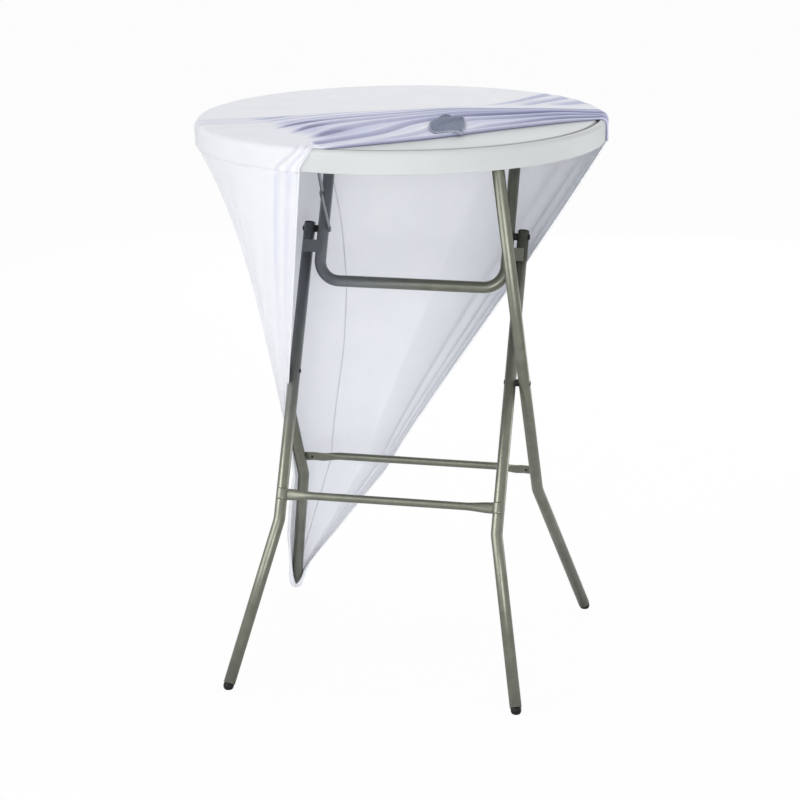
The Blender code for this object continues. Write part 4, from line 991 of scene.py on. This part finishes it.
def pleat_shape(s, q):
    """Pleat height and shade. Pleats follow lines sqrt(1 - q / reach) + 0.625 s, from the hem to the upper
    edge; each rises slowly, crests at two thirds and drops steeply towards the hem."""
    reach = pleat_reach(s)
    low = np.clip(1.0 - q / reach, 0.0, 1.0)
    wander = 0.16 * np.sin(7.0 * s + 9.0 * q) + 0.10 * np.sin(19.0 * s - 6.0 * q)
    phase = PLEATS * (np.sqrt(low) + 0.625 * np.minimum(s, 0.6)) + wander
    number = np.floor(phase)
    part = phase - number
    drop = 0.5 + 0.5 * np.cos(math.pi * (part - CREST) / (1.0 - CREST))
    ridge = np.where(part < CREST, (part / CREST) ** 1.3, drop)
    uneven = 0.62 + 0.38 * np.sin(5.3 * number + 1.0 + 2.6 * s)
    rising = smoothstep(0.10, 0.32, q)
    start = (0.07 + 0.10 * np.abs(np.sin(2.9 * number))) * (0.2 + 0.8 * rising)
    grow = 0.4 + 0.6 * rising
    calm = fade(0.95, 1.0, q / reach)
    tall = (0.0030 + 0.0070 * low ** 0.8) * (1.0 - 0.45 * smoothstep(0.8, 1.0, s))
    fine = 0.0006 * np.sin(2 * math.pi * 3.0 * phase + 5.0 * s) * low
    height = calm * smoothstep(start, start + 0.16 * grow, s) * (tall * uneven * ridge + fine)
    # Painted shade: lavender deepening towards the lower band, the right and each pleat's steep front, dark
    # streaks on the left, and a painted highlight along each crest.
    zone = 0.40 + 0.08 * low ** 0.7 + 0.32 * smoothstep(0.45, 0.80, s)
    zone = zone * smoothstep(-0.04, 0.26, s + 0.6 * q - 0.05) * (0.78 + 0.22 * np.sin(4.1 * number))
    front = smoothstep(CREST, 0.92, part)
    crest = bell(part, CREST - 0.06, 0.10)
    streaks = 0.56 * bell(s, 0.21, 0.09) * smoothstep(0.28, 0.42, q) * fade(0.74, 0.84, q)
    shade = zone + (0.26 + streaks) * front + 0.5 * streaks - 0.18 * crest
    shade = calm * smoothstep(start, start + 0.10 * grow, s) * shade
    return height, np.clip(shade, 0.0, 0.9)


def left_strip(s, q):
    """A flat fold from the left rim to the pleats: two low ridges, and the shade between and below them."""
    near = fade(0.17, 0.32, s)
    lower = 0.79 + 0.06 * np.clip(1.0 - s / 0.19, 0.0, 1.0) ** 2
    crest = bell(q, lower, 0.022)
    edge = bell(q, 0.972, 0.013)
    between = smoothstep(lower, lower + 0.05, q) * fade(0.93, 0.97, q)
    return near * (0.0034 * crest + 0.0026 * edge), near * (0.10 * between + 0.12 * edge - 0.06 * crest)


def right_fan(s, q):
    """Short wrinkles that fan out at the right rim behind the pleats, with painted shade between their crests."""
    reach = pleat_reach(s)
    near = smoothstep(0.62, 0.92, s) * smoothstep(reach + 0.08, reach + 0.20, q) * fade(0.95, 1.0, q)
    waves = 0.5 + 0.5 * np.sin(2 * math.pi * (4.6 * q + 0.3 * s) + 1.6 * np.sin(8.0 * q))
    low = 1.0 - 0.6 * smoothstep(0.86, 1.0, s)
    return 0.0036 * near * low * waves ** 1.5, near * (0.18 + 0.50 * (1.0 - waves) ** 1.2)


def band_relief(s, q, over):
    """All that lies on the band's base: its height, the pleats' own height, and its shade from 0 to 1."""
    pleats, shade = pleat_shape(s, q)
    strip, strip_shade = left_strip(s, q)
    fan, fan_shade = right_fan(s, q)
    tail = tail_lobes(q) * fade(0.06, 0.22, s)
    height = LIFT + (pleats + strip + fan) * (1.0 - 0.7 * smoothstep(0.0, RIM_RUN, over)) + tail
    flat_shade = 0.09 * fade(0.0, 0.012, over)
    shade = np.maximum(np.maximum(shade, fan_shade), flat_shade) + strip_shade
    shade = shade * (1.0 - 0.7 * smoothstep(0.0, 0.02, over))
    return height, pleats, shade + tail_lines(q) * fade(0.10, 0.28, s) * (s < 0.5)


band_height, pleat_rise, band_shade = band_relief(band_s, band_q, band_over)
print("tallest pleat", round(float(band_height.max()) * 1000, 1), "mm")

# %% Band: the rolled hem
HEM_ROLL = 0.0036
HEM_TURN = np.radians(np.linspace(-120.0, 75.0, 14))[None, :, None]
PLEAT_LEAN = 0.45


def rolled_hem(places, normals, height):
    """Rows in front of the first line: a part circle that rolls from under the hem up to its first height."""
    ahead = -unit(places[:, 1] - places[:, 0])[:, None]
    up = normals[:, None, 0]
    radius = np.maximum(height[:, :1, None] * 0.5, HEM_ROLL * 0.4)
    start = places[:, None, 0] + up * (radius + 0.0006)
    return start + ahead * radius * np.cos(HEM_TURN) + up * radius * np.sin(HEM_TURN)


from_left = band_s[:, :1]
hem_full = 0.35 + 0.65 * smoothstep(0.05, 0.3, from_left)
hem_roll = HEM_ROLL * 2 * hem_full * (1.0 - 0.5 * smoothstep(0.7, 1.0, from_left))
band_height = np.maximum(band_height, hem_roll * fade(0.0, 0.05, band_q))
leaning = band_places - unit(np.gradient(band_places, axis=1)) * (PLEAT_LEAN * pleat_rise)[..., None]
hem_rows = rolled_hem(leaning, band_normals, hem_roll)
band_sheet = np.concatenate([hem_rows, leaning + band_normals * band_height[..., None]], axis=1)
hem_shade = np.linspace(1.0, 0.25, hem_rows.shape[1]) * (0.2 + 0.8 * smoothstep(0.02, 0.25, from_left))
band = cloth("cover_band", band_sheet, np.concatenate([hem_shade, band_shade], axis=1))
settle(band, "top", "white_stretch_cloth", "cover_bunch")

# %% [markdown]
# The panel is the part of the cover's round top that lies smooth, from the band's upper edge back to the
# rim and over it. It is ruled: straight threads run from the upper edge to the rim. Its front tucks in
# under the band so that no gap shows.

# %% Panel
PANEL_STEPS = (200, 60, 16)
PANEL_TUCK = 0.0008


def panel_grid():
    """Threads from the band's upper edge (share 0) to the rim (share 1), then over the edge and down."""
    around, inward, outward = PANEL_STEPS
    t = np.linspace(0.0, 1.0, around)
    share = np.linspace(-0.02, 1.0, inward)
    over = np.linspace(0.0, RIM_RUN, outward)[1:]
    turn = UPPER_LEFT + t * (UPPER_RIGHT - UPPER_LEFT)
    line, edge = through(UPPER_POINTS, t), on_edge(turn)
    flat = line[:, None] + share[None, :, None] * (edge - line)[:, None]
    top_part = at_height(flat, TOP_HEIGHT + LIFT - PANEL_TUCK * fade(0.0, 0.05, share))
    rim_part = over_rim(turn[:, None], over[None, :], LIFT)
    return np.concatenate([top_part, rim_part], axis=1)


panel_sheet = panel_grid()
panel = cloth("cover_panel", panel_sheet, 0.05)
settle(panel, "top", "white_stretch_cloth", "cover_top")

# %% [markdown]
# One of the cover's foot pockets lies turned over on the band. It is a small flap of blue-grey weave with
# a paler stitched edge. Its outline has six corners, read as three lines from left to right; a curve
# through the three gives the surface. It rests on the pleats, so its height is that of the highest cloth
# close below it.

# %% Loose foot pocket
FLAP_LINES = np.array(
    [
        [(0.119, -0.214), (0.169, -0.215)],
        [(0.083, -0.116), (0.153, -0.109)],
        [(0.093, -0.014), (0.128, -0.025)],
    ]
)
FLAP_ACROSS, FLAP_ALONG = np.linspace(0.0, 1.0, 40), np.linspace(0.0, 1.0, 64)
FLAP_NEAR = 0.010
FLAP_LIFT = 0.0016
FLAP_CROWN = 0.0030
FLAP_SMOOTHINGS = 6


def cloth_under(places, sheet, near):
    """The height of the highest point of a sheet within a short way of each place."""
    points = sheet.reshape(-1, 3)
    low, high = places.min(axis=(0, 1)) - near, places.max(axis=(0, 1)) + near
    points = points[np.all((points[:, :2] > low) & (points[:, :2] < high), axis=1)]
    level = np.full(places.shape[:2], TOP_HEIGHT)
    for row, line in enumerate(places):
        apart = np.linalg.norm(points[None, :, :2] - line[:, None], axis=-1)
        level[row] = np.where(apart < near, points[None, :, 2], TOP_HEIGHT).max(axis=1)
    return level


def flap_grid():
    """Three lines joined by a parabola; the level is the cloth below, smoothed, plus a low crown."""
    a, b = pairs(FLAP_ACROSS, FLAP_ALONG)
    lines = FLAP_LINES[:, :1] + (FLAP_LINES[:, 1:] - FLAP_LINES[:, :1]) * FLAP_ACROSS[:, None]
    weights = np.stack([(1.0 - b) * (1.0 - 2 * b), 4 * b * (1.0 - b), b * (2 * b - 1.0)])
    flat = np.einsum("kab,kac->abc", weights, lines)
    level = cloth_under(flat, band_sheet, FLAP_NEAR)
    for _ in range(FLAP_SMOOTHINGS):
        padded = np.pad(level, 1, mode="edge")
        level = (padded[:-2, 1:-1] + padded[2:, 1:-1] + padded[1:-1, :-2] + padded[1:-1, 2:]) / 4
    edge = np.maximum(np.abs(2 * a - 1.0), np.abs(2 * b - 1.0))
    level = level + FLAP_LIFT + FLAP_CROWN * (1.0 - edge ** 4) + 0.0006 * np.sin(40.0 * a) * np.sin(25.0 * b)
    return at_height(flat, level), edge


flap_sheet, flap_edge = flap_grid()
flap_shade = 0.75 * smoothstep(0.90, 0.97, flap_edge)
flap = cloth("cover_loose_pocket", flap_sheet, flap_shade, look=WOVEN)
settle(flap, "top", "white_stretch_cloth")
print("loose pocket up to", round(float(flap_sheet[..., 2].max()), 4), "m")

# %% [markdown]
# The skirt hangs from the rim and closes on the rear left leg. Every line down the skirt starts on the rim
# and draws in to a ring round the leg: the left ones soonest, where the cloth is pulled tight, and the
# right hem almost straight. Long shallow folds run down from the rim, because the cloth is tight one way
# and slack the other. A line's place along the rim is named by u, from the left hem to the right one.

# %% Skirt: the cone
SKIRT_TOP, SKIRT_FOOT = 1.0630, 0.034
CONE_TOP, CONE_FOOT = 1.0623, 0.040
NECK_RADIUS = 0.0172
NECK_SWELL = 0.0100
HEM_ROUND_LEG = 232.0
FRONT_TOUCH, FRONT_SHARE, FRONT_SOFT = 0.40, 0.08, 0.03
LEFT_PULL, LEFT_PLACE, LEFT_SPREAD = 6.5, 0.193, 0.148
KINK_HEIGHT = (REAR_HINGE + REAR_DOWN * (REAR_CROSSING + KINK_BELOW_CROSSING))[2]


def leg_line(height):
    """The rear left leg's centre line as x and y at each height."""
    below = np.clip(KINK_HEIGHT - height, 0.0, None) / -REAR_DOWN[2]
    along = (height - REAR_HINGE[2]) / REAR_DOWN[2]
    return np.stack([-REAR_HALF - below * math.tan(SPLAY), REAR_HINGE[1] + along * REAR_DOWN[1]], axis=-1)


def skirt_place(u, height):
    """Leg line + share * (rim - leg line) + neck ring; the share falls from 1 at the rim to 0 at the foot."""
    fall = np.clip((height - CONE_FOOT) / (CONE_TOP - CONE_FOOT), 0.0, None)
    rim = (TOP_RADIUS + LIFT) * on_circle(np.radians(HEM_LEFT + u * (HEM_RIGHT - HEM_LEFT)))
    start = rim - leg_line(np.full_like(u, CONE_TOP))
    closing = 2.0 - 0.85 * np.clip((u - 0.15) / 0.6, 0.0, 1.0)
    closing = closing + LEFT_PULL * bell(u, LEFT_PLACE, LEFT_SPREAD)
    closing = closing + np.clip((u - 0.7) / 0.3, 0.0, 1.0) * (0.07 - 0.225 * fall)
    touch = FRONT_SOFT * np.log1p(np.exp((fall - FRONT_TOUCH) / FRONT_SOFT)) / (1.0 - FRONT_TOUCH)
    front = np.clip(1.0 - u / FRONT_SHARE, 0.0, 1.0)
    share = (front * touch + (1.0 - front) * fall ** closing)[..., None]
    swell = NECK_SWELL * smoothstep(0.05, 0.17, height) * fade(0.22, 0.42, height)
    neck = (NECK_RADIUS + swell)[..., None]
    apart = share * start + neck * (1.0 - share) * on_circle(np.radians(HEM_ROUND_LEG * (1.0 - u)))
    reach = np.linalg.norm(apart, axis=-1, keepdims=True)
    return at_height(leg_line(height) + apart * np.maximum(1.0, neck / reach), height)


def fall_of(height):
    """A height as a share of the skirt: 0 at its foot and 1 at its top."""
    return (height - SKIRT_FOOT) / (SKIRT_TOP - SKIRT_FOOT)


skirt_lines = np.concatenate([np.linspace(0.0, 0.05, 40, endpoint=False), np.linspace(0.05, 1.0, 250)])
skirt_u, skirt_drop = pairs(skirt_lines, np.linspace(0.0, 1.0, 150))
skirt_height = SKIRT_TOP + skirt_drop ** 0.95 * (SKIRT_FOOT - SKIRT_TOP)
skirt_base = skirt_place(skirt_u, skirt_height)
print("skirt foot ring at", np.round(skirt_base[:, -1].mean(axis=0), 3))

# %% [markdown]
# Each fold of the skirt is one row of four numbers: its place u at the rim, its place at the foot, its
# width as a share of u, and its height in metres.

# %% Skirt: its folds
SKIRT_FOLDS = (
    (0.045, 0.07, 0.008, 0.0030),
    (0.085, 0.075, 0.010, 0.0030),
    (0.12, 0.10, 0.010, 0.0035),
    (0.16, 0.13, 0.012, 0.0035),
    (0.21, 0.17, 0.014, 0.0035),
    (0.28, 0.23, 0.016, 0.0030),
    (0.885, 0.86, 0.016, 0.0050),
    (0.930, 0.91, 0.011, 0.0055),
    (0.968, 0.955, 0.008, 0.0045),
)


def rim_share(u):
    """The band's share q that reaches the rim where a line of the skirt starts."""
    along = (HEM_LEFT - HEM_RIGHT) * u / (HEM_LEFT - UPPER_LEFT)
    return along ** (1.0 / (BUNDLE_POWER - BUNDLE_SPREAD))


def skirt_folds(u, fall):
    """Ridges along lines that wander from one place at the rim to another at the foot."""
    height = np.zeros_like(u)
    swell = np.sin(math.pi * np.clip(fall * 0.92 + 0.06, 0.0, 1.0)) ** 0.7
    for at_rim, at_foot, width, tall in SKIRT_FOLDS:
        height += tall * swell * bell(u, at_foot + (at_rim - at_foot) * fall, width)
    return height + tail_lobes(rim_share(u)) * smoothstep(0.25, 0.80, fall)


fall_share = fall_of(skirt_height)
skirt_relief = skirt_folds(skirt_u, fall_share)
skirt_sheet = skirt_base - grid_normal(skirt_base) * skirt_relief[..., None]
# Painted shade: lavender in the fold valleys near the right hem, and faint lines between the tail's folds.
right_fold_shade = 0.08 * smoothstep(0.88, 0.96, skirt_u) * smoothstep(0.15, 0.75, fall_share)
skirt_shade = 0.05 + right_fold_shade * (1.0 - 0.7 * np.clip(skirt_relief / 0.005, 0.0, 1.0))
skirt_shade = skirt_shade + tail_lines(rim_share(skirt_u)) * smoothstep(0.45, 0.95, fall_share)
skirt = cloth("cover_skirt_sheet", skirt_sheet, skirt_shade)
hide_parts("cover_skirt")
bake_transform(skirt)

# %% [markdown]
# The corner of the cover ends in a pocket that hooks under the foot. It is a small cup round the end of the
# leg, flat where it stands on the floor. Its back meets the skirt's lower edge; its front is open in a V, so
# that the leg can be pushed in, and the V's rim runs on into the two hems of the skirt.

# %% Foot pocket
POCKET_LEFT, POCKET_FRONT, POCKET_RIGHT = HEM_ROUND_LEG, 284.0, 364.0
POCKET_LOW, POCKET_HIGH_LEFT, POCKET_HIGH_RIGHT = 0.0085, 0.0540, 0.0420
POCKET_RADIUS, POCKET_NARROW = 0.0162, 0.0128
POCKET_WIDENS_FROM, POCKET_WIDENS_OVER, POCKET_CLOSES = 0.008, 0.030, 0.0085
POCKET_BOTTOM = 0.0008
POCKET_ROUND, POCKET_RINGS = 96, 26


def pocket_rim(degrees):
    """The rim's height at an angle about the leg: a U in front, steep on the left, level round the back."""
    left = np.clip((POCKET_FRONT - degrees) / (POCKET_FRONT - POCKET_LEFT), 0.0, 1.0)
    right = np.clip((degrees - POCKET_FRONT) / (POCKET_RIGHT - POCKET_FRONT), 0.0, 1.0)
    rise_left = (POCKET_HIGH_LEFT - POCKET_LOW) * left ** 2.4
    rise_right = (POCKET_HIGH_RIGHT - POCKET_LOW) * right ** 1.7
    back = (POCKET_HIGH_LEFT - POCKET_HIGH_RIGHT) * smoothstep(POCKET_RIGHT, POCKET_LEFT + 360.0, degrees)
    return POCKET_LOW + rise_left + rise_right + back


def pocket_place(degrees, height):
    """A place on the cup: on a ring about the leg whose radius grows with the height, and closes below."""
    narrow = 1.0 - np.clip((height - POCKET_WIDENS_FROM) / POCKET_WIDENS_OVER, 0.0, 1.0)
    low = np.clip(1.0 - height / POCKET_CLOSES, 0.0, 1.0)
    radius = POCKET_RADIUS - (POCKET_RADIUS - POCKET_NARROW) * narrow ** 2
    radius = radius * np.sqrt(np.clip(1.0 - low ** 2, 0.0, 1.0))
    ring = radius[..., None] * on_circle(np.radians(degrees))
    return at_height(leg_line(np.maximum(height, 0.006)) + ring, height)


pocket_angles = POCKET_LEFT + np.linspace(0.0, 360.0, POCKET_ROUND + 1)[:-1]
pocket_turn, pocket_share = pairs(pocket_angles, np.linspace(1.0, 0.0, POCKET_RINGS))
pocket_height = POCKET_BOTTOM + (pocket_rim(pocket_turn) - POCKET_BOTTOM) * pocket_share ** 1.6
pocket_sheet = pocket_place(pocket_turn, pocket_height).transpose(1, 0, 2)
pocket = cloth("cover_pocket", pocket_sheet, 0.08, closed=True)
settle(pocket, "rear_leg_frame", "white_stretch_cloth", "cover_foot_pocket")
print("pocket", [round(v, 4) for v in pocket.dimensions])

# %% [markdown]
# Both free edges of the skirt are turned over and stitched into a narrow round hem, and the V of the pocket
# joins them. One cord follows the whole edge: down the left, round the foot and up the right. It is thickest
# at the foot. A second, finer cord is the seam that runs down the inside of the back.

# %% Hem and seam
CORD_SIDES = 12
NO_CORD_WAY = np.array([0.31, 0.83, 0.46])
HEM_THIN, HEM_FOOT_EXTRA = 0.0014, 0.0024
HEM_LEFT_END, HEM_RIGHT_END = 0.058, 0.048
SEAM_RADIUS, SEAM_IN = 0.0011, 0.0008


def cloth_cord(name, path, radius, shade):
    """A turned and stitched edge: a thin round of cloth along a line, closed at both ends. Each circle's
    two axes come from a direction in which no part of the line runs."""
    along = unit(np.gradient(path, axis=0))
    side = unit(np.cross(along, NO_CORD_WAY))
    radius = np.broadcast_to(radius, len(path))[:, None]
    grid = ellipses(path, radius * side, radius * np.cross(side, along), CORD_SIDES)
    mesh = cloth_mesh(name, grid, shade, closed=True, capped=True)
    mesh.flip_normals()
    made = piece(name, mesh, KNIT, CLOTH_SHARP)
    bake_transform(made)
    return made


v_turn = np.linspace(POCKET_LEFT, POCKET_RIGHT, 81)
v_rim = pocket_place(v_turn, pocket_rim(v_turn))
hem_left, hem_right = skirt_sheet[0], skirt_sheet[-1]
hem_left = hem_left[hem_left[:, 2] > HEM_LEFT_END]
hem_right = hem_right[hem_right[:, 2] > HEM_RIGHT_END][::-1]
hem_path = np.concatenate([hem_left, v_rim, hem_right])
for _ in range(3):
    hem_path[1:-1] = 0.25 * hem_path[:-2] + 0.5 * hem_path[1:-1] + 0.25 * hem_path[2:]
hem_radius = HEM_THIN + HEM_FOOT_EXTRA * fade(0.02, 0.10, hem_path[:, 2])
hem = cloth_cord("cover_hem", hem_path, hem_radius, 0.04)

seam_height = np.linspace(SKIRT_TOP - 0.01, 0.09, 160)
seam_fall = fall_of(seam_height)
seam_line = 0.621 - 0.105 * seam_fall ** 1.5 + 0.016 * smoothstep(0.30, 0.54, seam_fall)
seam_line -= 0.008 * smoothstep(0.62, 0.78, seam_fall) + 0.011 * smoothstep(0.74, 0.90, seam_fall)
seam_path = skirt_place(seam_line, seam_height)
seam_path = seam_path + SEAM_IN * unit(at_height(leg_line(seam_height), seam_height) - seam_path)
seam = cloth_cord("cover_seam", seam_path, SEAM_RADIUS, 0.07 + 0.17 * seam_fall[:, None])
print("hem", len(hem_path), "points; seam", len(seam_path), "points")

# %% [markdown]
# ## Floor, backdrop and light
# The table stands in a white studio. The floor is a large pale sheet that the camera sees as nearly white,
# but it still takes the table's shadow. Soft lamps on the left front, above, in front, behind and on the
# right share the work with an even pale sky, so that white cloth stays below pure white from every side.
# One more lamp is a wide panel that only reflections see: it draws the bright stripe down the front legs
# and adds nothing to the cloth.

# %% Floor
FLOOR_HALF = 40.0
FLOOR_HEIGHT = -0.0005
FLOOR_TONES = ((0.90, 0.90, 0.90), (0.92, 0.92, 0.92))
FLOOR_DRIFT = 3.0
FLOOR_GLOW_SHARE = 0.94
WHITE_LIGHT = {"Color": (1.0, 1.0, 1.0, 1.0), "Strength": 1.0}


def floor_finish():
    """Pale floor: white to the camera apart from the shadow, plain pale to all other light."""
    pale, tree, shader, place = new_finish("studio_floor")
    tree.links.new(drifting(tree, place, FLOOR_DRIFT, FLOOR_TONES), shader.inputs["Base Color"])
    shader.inputs["Roughness"].default_value = 0.9
    seen = add(tree, "ShaderNodeMath", {1: FLOOR_GLOW_SHARE}, operation="MULTIPLY")
    tree.links.new(add(tree, "ShaderNodeLightPath").outputs["Is Camera Ray"], seen.inputs[0])
    glow = add(tree, "ShaderNodeEmission", WHITE_LIGHT).outputs["Emission"]
    surface = tree.nodes["Material Output"].inputs["Surface"]
    shown(tree, seen.outputs[0], shader.outputs["BSDF"], glow, surface)
    return pale


floor_across = np.linspace(-FLOOR_HALF, FLOOR_HALF, 3)
floor_grid = at_height(np.stack(pairs(floor_across, floor_across), axis=-1), FLOOR_HEIGHT)
floor_mesh = grid_mesh("floor", floor_grid)
floor_mesh.flip_normals()
floor = piece("floor", floor_mesh, floor_finish())
print("floor", 2 * FLOOR_HALF, "m wide")

# %% World and lamps
SKY_LIGHT = {"Color": (0.97, 0.98, 1.0, 1.0), "Strength": 0.66}

world = bpy.data.worlds.new("studio")
bpy.context.scene.world = world
world.use_nodes = True
sky = world.node_tree
sky.nodes.clear()
rays = add(sky, "ShaderNodeLightPath").outputs
seen = combined(sky, "MAXIMUM", rays["Is Camera Ray"], rays["Is Transmission Ray"])
seen = combined(sky, "MAXIMUM", seen, rays["Is Glossy Ray"])
fill = add(sky, "ShaderNodeBackground", SKY_LIGHT).outputs["Background"]
white = add(sky, "ShaderNodeBackground", WHITE_LIGHT).outputs["Background"]
shown(sky, seen, fill, white, add(sky, "ShaderNodeOutputWorld").inputs["Surface"])


def lamp(name, place, target, size, power):
    """A soft lamp of some width and height at a place, turned to a target."""
    data = bpy.data.lights.new(name, "AREA")
    data.shape = "RECTANGLE"
    data.size, data.size_y = size
    data.energy = power
    made = bpy.data.objects.new(name, data)
    made.location = place
    made.rotation_mode = "QUATERNION"
    made.rotation_quaternion = (Vector(target) - Vector(place)).to_track_quat("-Z", "Y")
    bpy.context.scene.collection.objects.link(made)
    return made


lamp("key_lamp", (-2.9, -2.6, 3.1), (0.0, -0.1, 0.5), (1.0, 1.0), 31.0)
stripe_lamp = lamp("stripe_lamp", (-3.1, -3.1, 2.1), (0.0, -0.1, 0.9), (4.2, 3.9), 180.0)
stripe_lamp.visible_diffuse = False
stripe_lamp.visible_transmission = False
lamp("top_lamp", (0.0, 0.2, 3.6), (0.0, 0.2, 1.1), (2.0, 2.0), 12.5)
lamp("front_lamp", (1.3, -4.5, 0.9), (0.0, 0.0, 0.6), (2.4, 2.4), 100.0)
lamp("back_lamp", (-0.2, 3.9, 1.5), (0.0, 0.0, 0.6), (2.4, 2.4), 31.0)
lamp("right_lamp", (2.9, 2.3, 0.35), (0.1, 0.1, 0.7), (2.0, 2.0), 38.0)
bpy.context.scene.view_settings.view_transform = "Standard"

# %% [markdown]

print("scene dressed")
